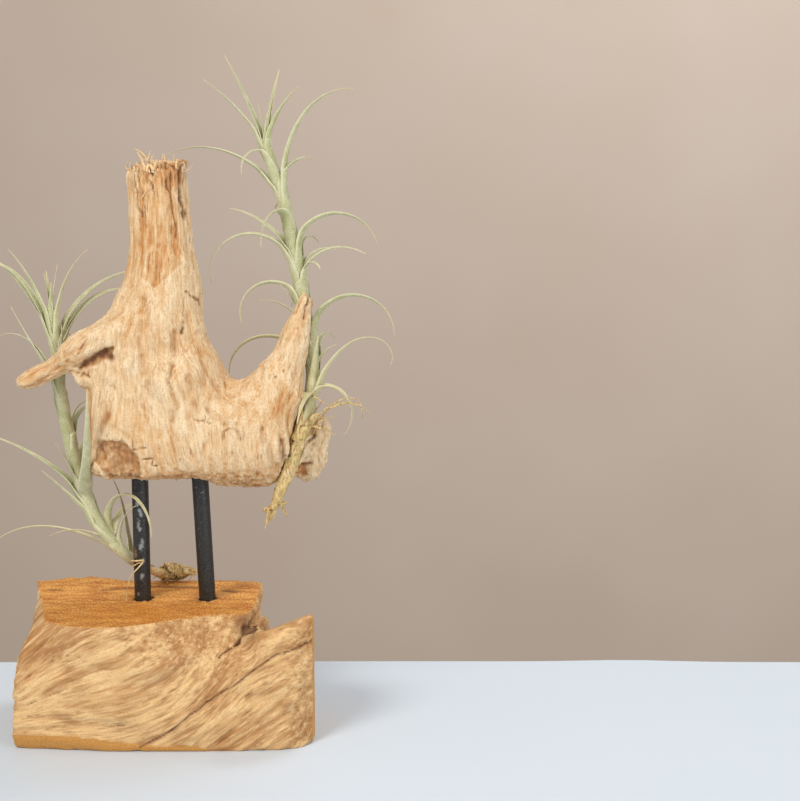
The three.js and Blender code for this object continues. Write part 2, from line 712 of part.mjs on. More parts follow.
// ---------------------------------------------------------------- the whole thing
function build() {
  const group = new THREE.Group();
  const holes = joined([rodHole("left"), rodHole("right")]);
  group.add(piece("base_block", block().subtract(joined([holes, ...blockCuts()])), finishes.sawnWood));
  group.add(piece("rod_left", rod("left"), finishes.blackPaint));
  group.add(piece("rod_right", rod("right"), finishes.blackPaint));
  const wood = joined([solidOf(netOf(driftwoodField, NET_BOX, NET_CELL)), ...splinters()]);
  group.add(piece("driftwood", wood.subtract(holes), finishes.driftwood));
  const rightShoot = shoot(RIGHT_STEM, [...RIGHT_LEAVES, ...backLeaves(RIGHT_BACK)]);
  const leftShoot = shoot(LEFT_STEM, [...LEFT_LEAVES, ...backLeaves(LEFT_BACK)]);
  group.add(piece("right_plant_shoot", rightShoot, finishes.leaf));
  group.add(piece("right_plant_dry_base", dryPart(RIGHT_STEM, RIGHT_DRY_LEAVES), finishes.dryLeaf));
  group.add(piece("left_plant_shoot", leftShoot, finishes.leaf));
  group.add(piece("left_plant_dry_base", dryPart(LEFT_STEM, []).add(root()), finishes.dryLeaf));
  return group;
}

export default build();
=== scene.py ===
"""Two long-stemmed air plants on a driftwood stand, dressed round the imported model.

Metres, +Z up, +X to the right and -Y towards the camera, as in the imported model. The sawn block, the two
rods, the driftwood and both plants are rebuilt here as finer pieces that keep the form of the solids they
stand for. Tables of rows are in millimetres and degrees, and MM brings their lengths to metres.
"""

import functools
import itertools
import math

import bpy
import numpy as np
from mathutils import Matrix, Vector


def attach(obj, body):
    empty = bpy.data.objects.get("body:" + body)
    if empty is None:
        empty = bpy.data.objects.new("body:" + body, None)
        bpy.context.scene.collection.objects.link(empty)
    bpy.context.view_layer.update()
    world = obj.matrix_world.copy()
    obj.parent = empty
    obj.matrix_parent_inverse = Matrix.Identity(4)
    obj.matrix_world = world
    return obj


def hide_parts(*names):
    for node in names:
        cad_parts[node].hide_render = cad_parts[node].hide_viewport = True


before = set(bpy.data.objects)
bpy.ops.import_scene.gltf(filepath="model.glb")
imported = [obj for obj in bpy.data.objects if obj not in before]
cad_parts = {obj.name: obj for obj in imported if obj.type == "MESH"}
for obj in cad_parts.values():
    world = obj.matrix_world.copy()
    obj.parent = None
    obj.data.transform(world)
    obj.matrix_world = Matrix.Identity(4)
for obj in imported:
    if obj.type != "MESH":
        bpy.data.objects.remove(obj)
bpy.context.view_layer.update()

MM = 0.001
BLOCK_TOP = 0.090  # height of the sawn top
ROD_RADIUS = 0.006
ROD_FOOT = {"left": (-0.0231, 0.0075), "right": (0.0241, 0.0075)}  # where the rods leave the block
ROD_LEAN = {"left": math.radians(0.3), "right": math.radians(-2.15)}
ROD_SPAN = (-0.030, 0.125)  # from their foot, along each rod
TRUNK_MIDDLE = (-0.0034, 0.006)  # of the broken end, seen from above
TRUNK_SPREAD = (0.0195, 0.0160)
BREAK_HEIGHT = 0.404
BREAK_SLOPE = 0.12
UP = np.array([0.0, 0.0, 1.0])


# ---------------------------------------------------------------- numbers over points
def smooth(values, low, high):
    """0 below low, 1 above high, and an even S between them."""
    t = np.clip((values - low) / (high - low), 0, 1)
    return t * t * (3 - 2 * t)


def bell(values, width):
    """1 where the value is 0, falling away evenly on both sides."""
    return np.exp(-((values / width) ** 2))


def unit(vectors):
    return vectors / np.maximum(np.linalg.norm(vectors, axis=-1, keepdims=True), 1e-12)


def pairs(row):
    """Places of a view from a row of millimetres: across and up, again and again."""
    return np.reshape(row, (-1, 2)) * MM


NOISE_CELLS = 48


@functools.lru_cache(maxsize=None)
def noise_table(seed):
    return np.random.default_rng(seed).uniform(-1, 1, (NOISE_CELLS,) * 3)


def noise(points, size, seed):
    """Smooth noise from -1 to 1, in lumps of about this size."""
    table = noise_table(seed)
    scaled = points / size
    cell = np.floor(scaled).astype(int)
    part = scaled - cell
    part = part * part * (3 - 2 * part)
    total = np.zeros(len(points))
    for corner in itertools.product((0, 1), repeat=3):
        weight = np.prod(np.where(corner, part, 1 - part), axis=1)
        at = (cell + corner) % NOISE_CELLS
        total += weight * table[at[:, 0], at[:, 1], at[:, 2]]
    return total


def lumps(points, *rows):
    """How far lumps stand out: each row is their height, their size and a seed."""
    return sum(height * MM * noise(points, size * MM, seed) for height, size, seed in rows)


def streaks(points, direction, size, reach, seed):
    """Noise drawn out along the grain: its mean over a short path both ways, with a spread of about 1."""
    stride = size * 0.7
    total = noise(points, size, seed)
    for sign in (-1, 1):
        walker = points.copy()
        for _ in range(int(reach / stride)):
            walker += sign * stride * direction(walker)
            total += noise(walker, size, seed)
    return (total - total.mean()) / total.std()


def from_line(x, z, line):
    """Distance in the front view from points to a line of (x, z) corners."""
    nearest = np.full(len(x), 1.0)
    for (ax, az), (bx, bz) in zip(line, line[1:]):
        dx, dz = bx - ax, bz - az
        t = np.clip(((x - ax) * dx + (z - az) * dz) / (dx * dx + dz * dz), 0, 1)
        nearest = np.minimum(nearest, np.hypot(x - ax - t * dx, z - az - t * dz))
    return nearest


def in_shape(x, z, corners):
    """How far points lie inside a shape of the front view with straight sides: negative outside it."""
    inside = np.zeros(len(x), bool)
    ring = [*corners, corners[0]]
    for (ax, az), (bx, bz) in zip(ring, ring[1:]):
        spans = (az > z) != (bz > z)
        inside ^= spans & (x < ax + (z - az) * (bx - ax) / (bz - az))
    away = from_line(x, z, ring)
    return np.where(inside, away, -away)


def in_patch(x, z, at_x, at_z, half_u, half_v, tilt):
    """1 in the middle of an oval patch of the front view, falling to 0 at its edge."""
    c, s = math.cos(math.radians(tilt)), math.sin(math.radians(tilt))
    dx, dz = x / MM - at_x, z / MM - at_z
    return 1 - smooth(np.hypot((dx * c + dz * s) / half_u, (dz * c - dx * s) / half_v), 0.2, 1.0)


GRID_CELLS = 256
GRID_STEP = 0.002
LOOSENESS = 0.03  # how far a fibre line may stray from the grain to keep the lines evenly apart
TRUST_OUTSIDE = 0.001  # how much the grain counts off the piece, beside 1 on it
ROUNDS = 600


def level_across(grain_x, grain_z, trust):
    """A field on the grid that hardly changes along the grain and rises by 1 a step across it.

    It is the least sum of squares of both wishes, each place counted by its trust, found by conjugate
    gradients. The grid's edges join up.
    """
    def spread(a, b):
        return np.roll(a, 1, 0) - a + np.roll(b, 1, 1) - b

    def flow(a, b):
        along = grain_x * a + grain_z * b
        return trust * (grain_x * along + LOOSENESS * a), trust * (grain_z * along + LOOSENESS * b)

    tilt = grain_z.mean(), -grain_x.mean()
    held = flow(tilt[0], tilt[1])
    left = spread(trust * LOOSENESS * grain_z - held[0], -trust * LOOSENESS * grain_x - held[1])
    field = np.zeros_like(left)
    step = left.copy()
    power = (left * left).sum()
    for _ in range(ROUNDS):
        pulled = spread(*flow(np.roll(step, -1, 0) - step, np.roll(step, -1, 1) - step))
        size = power / (step * pulled).sum()
        field += size * step
        left -= size * pulled
        last, power = power, (left * left).sum()
        step = left + power / last * step
    i, k = np.indices(field.shape)
    return field + tilt[0] * i + tilt[1] * k


def among_fibres(points, direction):
    """Each point's place among the fibres: across them in the front view, front to back, and along them."""
    low, high = points.min(axis=0), points.max(axis=0)
    middle, half = (low + high) / 2, (high - low) / 2
    steps = GRID_STEP * (np.arange(GRID_CELLS) - GRID_CELLS / 2)
    x, z = np.meshgrid(middle[0] + steps, middle[2] + steps, indexing="ij")
    grid = np.stack([x, np.full_like(x, middle[1]), z], axis=-1).reshape(-1, 3)
    way = direction(grid).reshape(GRID_CELLS, GRID_CELLS, 3)
    beyond = np.maximum(np.abs(x - middle[0]) - half[0], np.abs(z - middle[2]) - half[2])
    trust = np.where(beyond < 2 * GRID_STEP, 1, TRUST_OUTSIDE)
    level = GRID_STEP * level_across(way[..., 0], way[..., 2], trust)
    at = (points[:, [0, 2]] - middle[[0, 2]]) / GRID_STEP + GRID_CELLS / 2
    cell = np.floor(at).astype(int)
    u, v = (at - cell).T
    i, k = cell.T
    across = (level[i, k] * (1 - u) * (1 - v) + level[i + 1, k] * u * (1 - v)
              + level[i, k + 1] * (1 - u) * v + level[i + 1, k + 1] * u * v)
    return np.stack([across, points[:, 1], points[:, 0] + points[:, 2]], axis=1)


# ---------------------------------------------------------------- meshes
def points_of(mesh):
    flat = np.empty(len(mesh.vertices) * 3)
    mesh.vertices.foreach_get("co", flat)
    return flat.reshape(-1, 3)


def normals_of(mesh):
    flat = np.empty(len(mesh.vertices) * 3, np.float32)
    mesh.vertex_normals.foreach_get("vector", flat)
    return flat.reshape(-1, 3).astype(float)


def set_points(mesh, points):
    mesh.vertices.foreach_set("co", points.astype(np.float32).ravel())
    mesh.update()


def set_values(mesh, **values):
    """Keeps a number or a place for each point, which the material reads by this name."""
    for name, numbers in values.items():
        numbers = np.asarray(numbers, np.float32)
        kind, key = ("FLOAT", "value") if numbers.ndim == 1 else ("FLOAT_VECTOR", "vector")
        mesh.attributes.new(name, kind, "POINT").data.foreach_set(key, numbers.ravel())


def put(name, mesh, material, node):
    """Adds a finished piece that stands for a solid and rides on the only body."""
    piece = bpy.data.objects.new(name, mesh)
    bpy.context.scene.collection.objects.link(piece)
    mesh.materials.clear()
    mesh.materials.append(material)
    mesh.shade_smooth()
    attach(piece, "root")
    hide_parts(node)


def fine_copy(node, voxel, rounds):
    """The solid's mesh, rebuilt from even squares of half this voxel and smoothed."""
    draft = bpy.data.objects.new("draft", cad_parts[node].data.copy())
    bpy.context.scene.collection.objects.link(draft)
    remesh = draft.modifiers.new("even", "REMESH")
    remesh.mode = "VOXEL"
    remesh.voxel_size = voxel
    relax = draft.modifiers.new("relax", "SMOOTH")
    relax.iterations = rounds
    finer = draft.modifiers.new("finer", "SUBSURF")
    finer.levels = 1
    finer.render_levels = 1
    graph = bpy.context.evaluated_depsgraph_get()
    mesh = bpy.data.meshes.new_from_object(draft.evaluated_get(graph))
    bpy.data.objects.remove(draft)
    return mesh


def hollowness(mesh, rounds):
    """How far each point lies in a dent, in metres: positive in hollows and negative on ridges."""
    points = points_of(mesh)
    ends = np.empty(len(mesh.edges) * 2, int)
    mesh.edges.foreach_get("vertices", ends)
    a, b = ends.reshape(-1, 2).T
    total = len(points)
    count = np.bincount(a, minlength=total) + np.bincount(b, minlength=total)
    around = points.copy()
    for _ in range(rounds):
        sums = [np.bincount(a, part[b], total) + np.bincount(b, part[a], total) for part in around.T]
        around = np.stack(sums, axis=1) / count[:, None]
    return ((around - points) * normals_of(mesh)).sum(axis=1)


def mesh_from(name, points, faces):
    mesh = bpy.data.meshes.new(name)
    mesh.from_pydata([tuple(p) for p in points], [], faces)
    mesh.update()
    return mesh


def tube_faces(rings, sides, first=0):
    """Faces of a closed skin over rings of points, with both ends shut."""
    faces = []
    for r in range(rings - 1):
        for i in range(sides):
            a = first + r * sides + i
            b = first + r * sides + (i + 1) % sides
            faces.append((a, b, b + sides, a + sides))
    last = first + (rings - 1) * sides
    faces.append(tuple(range(first + sides - 1, first - 1, -1)))
    faces.append(tuple(range(last, last + sides)))
    return faces


def skins_mesh(name, parts):
    """Closed skins as one mesh. Each part is its rings, its sides, its points and the material's values."""
    faces, first = [], 0
    for count, sides, points, _ in parts:
        faces += tube_faces(count, sides, first)
        first += len(points)
    mesh = mesh_from(name, np.vstack([points for _, _, points, _ in parts]), faces)
    for key in parts[0][3]:
        column = [np.broadcast_to(values[key], len(points)) for _, _, points, values in parts]
        set_values(mesh, **{key: np.concatenate(column)})
    return mesh


def square_to(way, towards):
    """Two ways at right angles to this one and to each other."""
    side = unit(np.cross(towards, way))
    return side, np.cross(way, side)


def round_rings(line, way, radius, sides, towards):
    """Rings of points round a line, as thick as radius says, and the way out at each point."""
    side, third = square_to(way, towards)
    turn = np.linspace(0, 2 * math.pi, sides, endpoint=False)[:, None]
    out = np.cos(turn) * side[:, None] + np.sin(turn) * third[:, None]
    points = line[:, None] + out * np.reshape(radius, (len(line), -1, 1))
    return points.reshape(-1, 3), out.reshape(-1, 3)


# ---------------------------------------------------------------- materials
def linear(red, green, blue):
    """A colour given as on a screen, 0 to 255, in the shader's linear light."""
    return tuple((c / 255) ** 2.2 for c in (red, green, blue)) + (1.0,)


class Finish:
    """A node material that is built from the outside in."""

    def __init__(self, name):
        self.material = bpy.data.materials.new(name)
        self.material.use_nodes = True
        self.tree = self.material.node_tree
        self.tree.nodes.clear()
        self.place = self.add("ShaderNodeTexCoord").outputs["Object"]

    def add(self, kind, inputs=None, **settings):
        node = self.tree.nodes.new(kind)
        for key, value in settings.items():
            setattr(node, key, value)
        for key, value in (inputs or {}).items():
            if isinstance(value, bpy.types.NodeSocket):
                self.tree.links.new(value, node.inputs[key])
            else:
                node.inputs[key].default_value = value
        return node

    def value(self, name, output="Fac"):
        return self.add("ShaderNodeAttribute", attribute_name=name).outputs[output]

    def math(self, kind, a, b):
        return self.add("ShaderNodeMath", {0: a, 1: b}, operation=kind).outputs[0]

    def ramp(self, value, low, high, to_low=0.0, to_high=1.0):
        """value carried from low..high to to_low..to_high, and held at the ends."""
        inputs = {"Value": value, "From Min": low, "From Max": high, "To Min": to_low, "To Max": to_high}
        return self.add("ShaderNodeMapRange", inputs).outputs["Result"]

    def specks(self, place, stretch, size, seed, detail):
        inputs = {"Vector": place, "Location": (seed, seed, seed), "Scale": stretch}
        place = self.add("ShaderNodeMapping", inputs).outputs["Vector"]
        inputs = {"Vector": place, "Scale": 1 / size, "Detail": detail}
        return self.add("ShaderNodeTexNoise", inputs).outputs["Fac"]

    def grain(self, size, detail=2.0, seed=0.0, stretch=(1, 1, 1)):
        """Noise from 0 to 1 in specks of about this size."""
        return self.specks(self.place, stretch, size, seed, detail)

    def fibres(self, size, length, seed=0.0, detail=2.0):
        """Noise from 0 to 1 in fibres of about this thickness, and this many times as long."""
        return self.specks(self.value("fibres", "Vector"), (1, 1, 1 / length), size, seed, detail)

    def mix(self, share, a, b):
        return self.add("ShaderNodeMix", {0: share, 6: a, 7: b}, data_type="RGBA").outputs[2]

    def between(self, value, low, high, first, last):
        """The first tone where the value is low, and the last one where it is high."""
        return self.mix(self.ramp(value, low, high), linear(*first), linear(*last))

    def layers(self, color, *rows):
        """The colour under further tones. Each row is a value, the limits of its ramp, and the tone."""
        for value, *limits, tone in rows:
            color = self.mix(self.ramp(value, *limits), color, linear(*tone))
        return color

    def done(self, color, height=None, depth=0.0, strength=1.0, **constants):
        """The material, with its fine relief where a height is given."""
        inputs = {key.replace("_", " "): value for key, value in constants.items()}
        inputs["Base Color"] = color
        if height is not None:
            bump = {"Height": height, "Distance": depth, "Strength": strength}
            inputs["Normal"] = self.add("ShaderNodeBump", bump).outputs["Normal"]
        shader = self.add("ShaderNodeBsdfPrincipled", inputs)
        self.add("ShaderNodeOutputMaterial", {"Surface": shader.outputs[0]})
        return self.material


def driftwood_finish():
    """Bleached wood: cream, tan where it is stained, brown in the cavity, the stains and the splits, streaked
    along the grain. Its tan and brown are also painted shade in the dents, under the arm, beside the right
    stem and on the left of the neck, and its paler cream is painted highlight on the ridges and painted light
    on the right of the neck.
    """
    finish = Finish("driftwood")
    streak = finish.value("streak")
    speck = finish.grain(0.0012, 3.0)
    thin = finish.fibres(0.0011, 9, 0.0, 3.0)
    tan = finish.value("tan")
    for value, *limits in (
        (streak, -2, 2, 0.08, -0.08),
        (finish.grain(0.0050, 3.0, 11.0, (1, 1, 0.5)), 0.3, 0.7, -0.12, 0.12),
        (finish.fibres(0.0042, 7, 3.0, 3.0), 0.3, 0.7, 0.20, -0.20),
    ):
        tan = finish.math("ADD", tan, finish.ramp(value, *limits))
    # The tan holds painted shade in the hollows and on the left of the neck, and painted light on the ridges
    # and the right of the neck.
    color = finish.layers(
        finish.between(tan, 0, 0.7, (236, 211, 172), (212, 167, 116)),
        (tan, 0.7, 1.0, (196, 136, 82)),
        (streak, -2.4, -1.0, 0.35, 0.0, (164, 118, 78)),
        (thin, 0.30, 0.48, 0.48, 0.0, (168, 122, 80)),
        (thin, 0.54, 0.72, 0.0, 0.45, (246, 226, 190)),
        (finish.fibres(0.0013, 12, 9.0), 0.27, 0.33, 0.6, 0.0, (128, 86, 56)),
        # Brown of the cavity, marks, splits and stains, and painted shade in the dents, under the arm and
        # beside the right stem.
        (finish.value("hollow"), 0, 1, 0, 0.92, (98, 62, 44)),
        (speck, 0.35, 0.62, 0.26, 0.0, (166, 120, 80)),
        (finish.grain(0.0021, 4.0, 7.0), 0.70, 0.76, 0.0, 0.6, (140, 94, 60)),
    )
    height = finish.math("ADD", thin, speck)
    return finish.done(color, height, 0.0007, 0.7, Roughness=0.88, Specular_IOR_Level=0.25)


def block_finish():
    """Sawn and weathered hardwood: pale and brown bands, an oiled orange top, plain sawn ends."""
    finish = Finish("block_wood")
    thin = finish.fibres(0.0013, 14, 0.0, 3.0)
    coarse = finish.fibres(0.0032, 12, 5.0, 3.0)
    faces = finish.layers(
        finish.between(finish.value("band"), -1.6, 1.6, (178, 128, 76), (227, 185, 128)),
        (coarse, 0.34, 0.50, 0.60, 0.0, (160, 110, 64)),
        (coarse, 0.54, 0.70, 0.0, 0.55, (242, 208, 154)),
        (finish.value("streak"), -2.4, -0.6, 0.50, 0.0, (146, 98, 56)),
        (thin, 0.30, 0.47, 0.62, 0.0, (148, 100, 58)),
        (thin, 0.56, 0.74, 0.0, 0.50, (248, 218, 168)),
    )
    sawn = finish.between(finish.grain(0.0011, 3.0), 0.3, 0.7, (187, 128, 58), (207, 151, 78))
    cloud = finish.grain(0.011, 4.0, 3.0, (0.6, 1.6, 1))
    fleck = finish.grain(0.0013, 3.0, 8.0, (1, 0.4, 1))
    oil = finish.layers(
        finish.between(cloud, 0.38, 0.62, (180, 106, 34), (222, 158, 76)),
        (finish.value("amber"), 0, 1, 0, 0.7, (214, 130, 22)),
        (fleck, 0.52, 0.68, 0.0, 0.60, (240, 192, 112)),
        (fleck, 0.32, 0.47, 0.60, 0.0, (150, 86, 28)),
    )
    speck = finish.grain(0.0012, 3.0, 5.0)
    color = finish.layers(
        finish.mix(finish.value("oiled"), finish.mix(finish.value("sawn"), faces, sawn), oil),
        # Brown of the splits, cleft, cracks and stains, and painted shade in the dents.
        (finish.value("hollow"), 0, 1, 0, 0.92, (92, 56, 34)),
        (speck, 0.35, 0.62, 0.22, 0.0, (150, 106, 66)),
    )
    return finish.done(color, finish.math("ADD", thin, speck), 0.0006, 0.6, Roughness=0.72)


def paint_finish():
    """Black paint with pale chips and a little rust."""
    finish = Finish("black_paint")
    color = finish.layers(
        finish.between(finish.grain(0.0009, 3.0), 0.48, 0.72, (26, 25, 24), (70, 66, 58)),
        (finish.value("bare"), 0, 1, (128, 131, 130)),
        (finish.value("rust"), 0, 1, (122, 82, 60)),
    )
    return finish.done(color, finish.grain(0.0016, 2.0, 2.0), 0.0002, 0.6, Roughness=0.42)


def leaf_finish():
    """A scaly leaf: green under silver scales, with pale margins and a dry tip."""
    finish = Finish("living_leaf")
    dry = (214, 194, 150)
    scales = finish.grain(0.0007, 3.0)
    cover = finish.ramp(scales, 0.35, 0.65, 0.0, 0.5)
    for value, *limits in (
        (finish.grain(0.006, 2.0, 4.0), 0.3, 0.7, 0.0, 0.3),
        (finish.value("tint"), 0, 1, -0.05, 0.10),
    ):
        cover = finish.math("ADD", cover, finish.ramp(value, *limits))
    color = finish.layers(
        finish.between(cover, 0, 1, (150, 154, 94), (217, 212, 182)),
        (finish.math("ABSOLUTE", finish.value("across"), 0.0), 0.72, 1.0, 0.0, 0.6, (230, 226, 192)),
        (finish.value("along"), 0.72, 1.0, 0.0, 0.8, dry),
        (finish.value("age"), 0, 1, dry),
    )
    return finish.done(color, scales, 0.00025, 0.5, Roughness=0.72, Sheen_Weight=0.25, Sheen_Roughness=0.5,
                       Specular_IOR_Level=0.3)


def dry_finish():
    """Shrivelled leaf bases: straw with brown streaks, olive where the tint or the age rises."""
    finish = Finish("dry_leaf")
    fibre = finish.grain(0.0012, 3.0, 0.0, (1, 1, 0.25))
    color = finish.layers(
        finish.between(finish.grain(0.006, 3.0, 2.0), 0.35, 0.65, (208, 172, 114), (236, 207, 154)),
        (finish.value("tint"), 0, 1, 0.0, 0.45, (178, 162, 92)),
        (finish.value("age"), 1, 2, 0.0, 0.75, (158, 150, 80)),
        (fibre, 0.32, 0.52, 0.75, 0.0, (134, 94, 54)),
    )
    return finish.done(color, fibre, 0.0005, 0.7, Roughness=0.8)


def torn_finish():
    """Torn fibres, brown or pale."""
    finish = Finish("torn_fibre")
    color = finish.between(finish.value("tint"), 0, 1, (164, 108, 62), (236, 204, 156))
    return finish.done(color, Roughness=0.85)


def plain(name, tone, roughness):
    """A plain surface, clouded a little with white."""
    finish = Finish(name)
    color = finish.layers(linear(*tone), (finish.grain(0.4), 0.3, 0.7, 0, 0.06, (255, 255, 255)))
    return finish.done(color, Roughness=roughness)


# ---------------------------------------------------------------- driftwood
# The limbs that the grain follows, from, to and radius: each points the way that its grain runs.
LIMBS = [
    (-2, 6, 335, -3.4, 6, 420, 21), (-10, 5, 285, -2, 6, 335, 28), (24, 5, 262, 6, 5, 330, 14),
    (-34, 5, 185, -24, 5, 275, 30), (16, 6, 185, 0, 5, 275, 34), (62, 3, 195, 60, 3, 235, 34),
    (70, 3, 225, 82, 3, 250, 20), (82, 3, 250, 99.5, 3, 315, 11), (-104, -6, 250, -44, -1, 283, 10),
    (103, 18, 190, 104, 20, 222, 12),
]
LIMB_BLEND = 0.007
# Lines that are worn or split into the front: half width, depth, how dark they are, and corners (x, z). The
# dark of the line under the arm and of the one beside the right stem is painted shade.
MARKS = [
    (2, 1.6, 0.22, [9, 289.8, 8.5, 272.5, 6.2, 263.4, 4.6, 256.4, 7.9, 248, 11.1, 238.9, 7.4, 229]),
    (4.2, 1.3, 0.1, [-12.4, 310.5, -11.5, 295.4, -15.3, 282.9, -10.4, 264.1, -8.1, 246.6]),
    (2.6, 1.6, 0.25, [18.5, 258.5, 21, 248.7, 24.2, 236]),
    (1.4, 0.9, 0.18, [24.5, 276.7, 29, 262.7, 34.9, 251.5, 39, 246.6]),
    (1, 1.3, 0.3, [42.5, 216.2, 43.3, 221.2, 46.1, 223.3, 49.6, 223.3, 53, 220.5, 54.3, 215.5]),
    (0.6, 1, 0.4, [22, 229.7, 25.4, 228.3, 28.2, 229, 34.4, 226.2]),
    (1.4, 1, 0.15, [31.1, 236.7, 35.2, 230.4, 43.4, 226.2, 51.1, 226.2]),
    (2.2, 1.3, 0.2, [69.1, 221.9, 71.7, 211.3, 77.7, 197, 83.2, 186.3]),
    (3.2, 1, 0.22, [-38.4, 232.5, -43.6, 220.5, -47.5, 209.1]),
    (0.5, 1, 0.55, [-21, 207.6, -16, 208.6, -12.1, 209.1]),
    (0.5, 1.2, 0.6, [-16.1, 200.5, -11, 201.2, -6.7, 201.5, -8.3, 196.7, -4.1, 196.2]),
    # under the arm: its dark is painted shade
    (2.4, 1.6, 0.85, [-58.1, 264, -45.5, 273.2, -39.1, 275.8, -35, 271.6]),
    (0.5, 1, 0.6, [-60.3, 260.4, -55.5, 260, -51.9, 257.1]),
    (0.7, 0.8, 0.25, [8.3, 266.7, 5.5, 261.3, 5.6, 254.9, 8.4, 250.1]),
    (1.2, 2.2, 0.8, [14.6, 295.4, 13.8, 291.2, 13, 288.5]),
    # beside the right stem: a dark line of painted shade in the gap behind it
    (1, 2, 0.75, [82.9, 214.1, 84.1, 206.3, 83.3, 199.1, 86, 190.6]),
    (0.8, 1.8, 0.85, [13.8, 406, 13.4, 397.9, 12.6, 390.1, 13.2, 383.3, 14.4, 376, 15.5, 366.6]),
    (1.2, 1.8, 0.75, [13.3, 398, 12.8, 392]),
    (0.7, 1.6, 0.8, [-16.4, 401, -16.1, 393.7, -15.4, 382.3, -15.1, 376, -13.2, 368.2]),
    (0.6, 1.4, 0.7, [-6.4, 393.7, -4.5, 387.5, -3.8, 384.4]),
    (0.5, 1, 0.5, [2.7, 401, 4.1, 394.8, 5.5, 388.5, 7.4, 382.3, 9.3, 374.5, 10.6, 362.4, 11.4, 353]),
    (0.6, 1.2, 0.5, [-14.1, 401, -13.7, 394.8, -11.5, 382.3, -10.2, 371.8, -9.5, 361.4]),
    (0.6, 1.4, 0.7, [-0.3, 404.6, 2.7, 401]),
    (0.9, 3, 1, [-7, 408.7, -9.7, 405.1]),
    (1.2, 3, 1, [-6.5, 400.5, -4.2, 397.1]),
    (1, 2.5, 1, [-20.3, 400.5, -19.8, 402.4]),
    (2.2, 1.2, 0.4, [-9.6, 399.5, -9, 393]),
    (0.8, 1, 0.5, [109.5, 220.3, 110, 214.1]),
    (1.2, 1.8, 0.8, [104.5, 210.8, 95.6, 205.1, 93.3, 197.2]),
    (0.9, 1.4, 0.6, [102.2, 201.8, 97.7, 195.6]),
    (1, 1.6, 0.9, [101, 191.6, 95.5, 190.5, 90.5, 188.2]),
    (0.6, 1.4, 0.7, [16.5, 316.7, 19.2, 313.3, 21.2, 312.6, 23.2, 309.2, 23.8, 306.4]),
    (0.5, 0.8, 0.45, [15, 312.6, 14.7, 300.2]),
    (0.9, 1.4, 0.75, [100.3, 312.2, 99.3, 305, 97.6, 297.2]),
    (1.6, 0.8, 0.15, [-69, 272, -56, 279, -44, 285]),
]
# Sunken places of the front: width of their edge, depth, how tan and how brown they are, and corners (x, z).
# The first lies under the arm, and its tan and brown are painted shade.
HOLLOWS = [
    (2.4, 1.2, 0.9, 0.5, [-59, 263.2, -46, 274.8, -37.9, 280.7, -30.5, 281.2, -32.9, 270.6, -41.4, 269,
     -44.7, 265.7, -53.3, 263]),
    (1.4, 1.6, 0.75, 0.36, [-50.7, 206.2, -43, 213.8, -28.1, 215.2, -16.9, 202.4, -15.4, 192.9, -18, 185,
     -40, 185, -50, 198]),
]
# Stains of the front: middle (x, z), half sizes, tilt, and how tan and how brown they are.
STAINS = [
    (-24.5, 201, 12, 10, -50, 0.9, 0.72), (-43, 212, 11, 4, 10, 0.9, 0.35),
    (81.1, 236, 8.5, 21, -25, 0.9, 0.08), (92, 292, 9, 26, -16, 0.65, 0), (104, 299, 3, 17, 4, 1, 0.4),
    (77.9, 257.1, 1.4, 1.4, 0, 1, 0.9), (-82, 262, 40, 12, 28, 0.75, 0.05),
    (103.2, 216.9, 5, 8.5, -20, 0.9, 0.5), (95.5, 185.4, 9, 5.5, 0, 1, 0.28), (21, 248, 6, 26, 10, 0.55, 0),
    (-12, 295, 6, 28, 4, 0.55, 0), (-39.5, 229, 3.5, 15, -25, 0.8, 0.22), (-8, 218, 16, 8, 10, 0.45, 0),
    (6, 188, 42, 6, 0, 0.9, 0.15), (62, 180, 14, 5, 8, 0.9, 0.2), (-53, 225, 3.8, 30, 0, 1, 0.22),
]
# Lumps of the surface: height, size and seed.
FOLDS = [(0.9, 18, 54)]
SKIN = [(0.36, 7.5, 4), (0.12, 1.9, 65)]
LIMB_SKIN = [(0.3, 4.5, 67)]
BARK = [(1.5, 6, 58), (1.0, 2.5, 59)]
RIM_EDGE = [(1.2, 3.4, 6), (0.8, 1.6, 62)]
WOBBLE = [(0.9, 5, 5), (0.6, 1.8, 71)]  # how the lines and the hollows stray from their corners
PLATES = [(64, 5.5, 0.3), (66, 11, 0.6)]  # seed, size and height of the worn layers
PLATE_EDGES = (-0.5, 0.6)  # the levels of each layer's noise at which it steps up
KNOT = (0.0236, 0.2874)  # a small round scar beside the slit
KNOT_SIZE = 0.0045
KNOT_HEIGHT = 0.0006
# The long worn panel of the trunk: its sides, and its lower end, which runs to a point.
PANEL_SIDES = (-0.0135, 0.0128)
PANEL_LOW = (-0.0047, 0.3188)
PANEL_RISE = 0.9
TEAR_SIDES = (0.0020, 0.0140)  # of the frayed part of the broken end, over the panel
TEAR_LOW = 0.3892
NECK = (0.300, 0.345)  # heights over which the body turns into the trunk
NECK_HALF = 0.04
LOBE_X = (0.088, 0.096)  # where the rounded lobe begins, at the right
LOBE_TOP = 0.226
RIM = (-0.197, -0.186)  # the ragged underside: heights, counted down, over which it begins
TORN = (0.384, 0.403)  # heights over which the broken end starts
DENT = 0.0006  # depth of a full dent in the surface
WIDE_DENT = 0.0024  # and of one in the form


def wood_grain(points):
    """The way that the driftwood's grain runs at each point."""
    total = np.zeros_like(points)
    for row in LIMBS:
        a, b, radius = np.array(row[:3]) * MM, np.array(row[3:6]) * MM, row[6] * MM
        way = b - a
        t = np.clip(((points - a) @ way) / (way @ way), 0, 1)
        outside = np.linalg.norm(points - a - t[:, None] * way, axis=1) - radius
        total += np.exp(-np.maximum(outside, -0.01) / LIMB_BLEND)[:, None] * way / np.linalg.norm(way)
    return unit(total)


def from_to(x, low, high, soft):
    """1 from low to high, falling to 0 over a soft edge outside them."""
    return smooth(x, low - soft, low) * smooth(-x, -high - soft, -high)


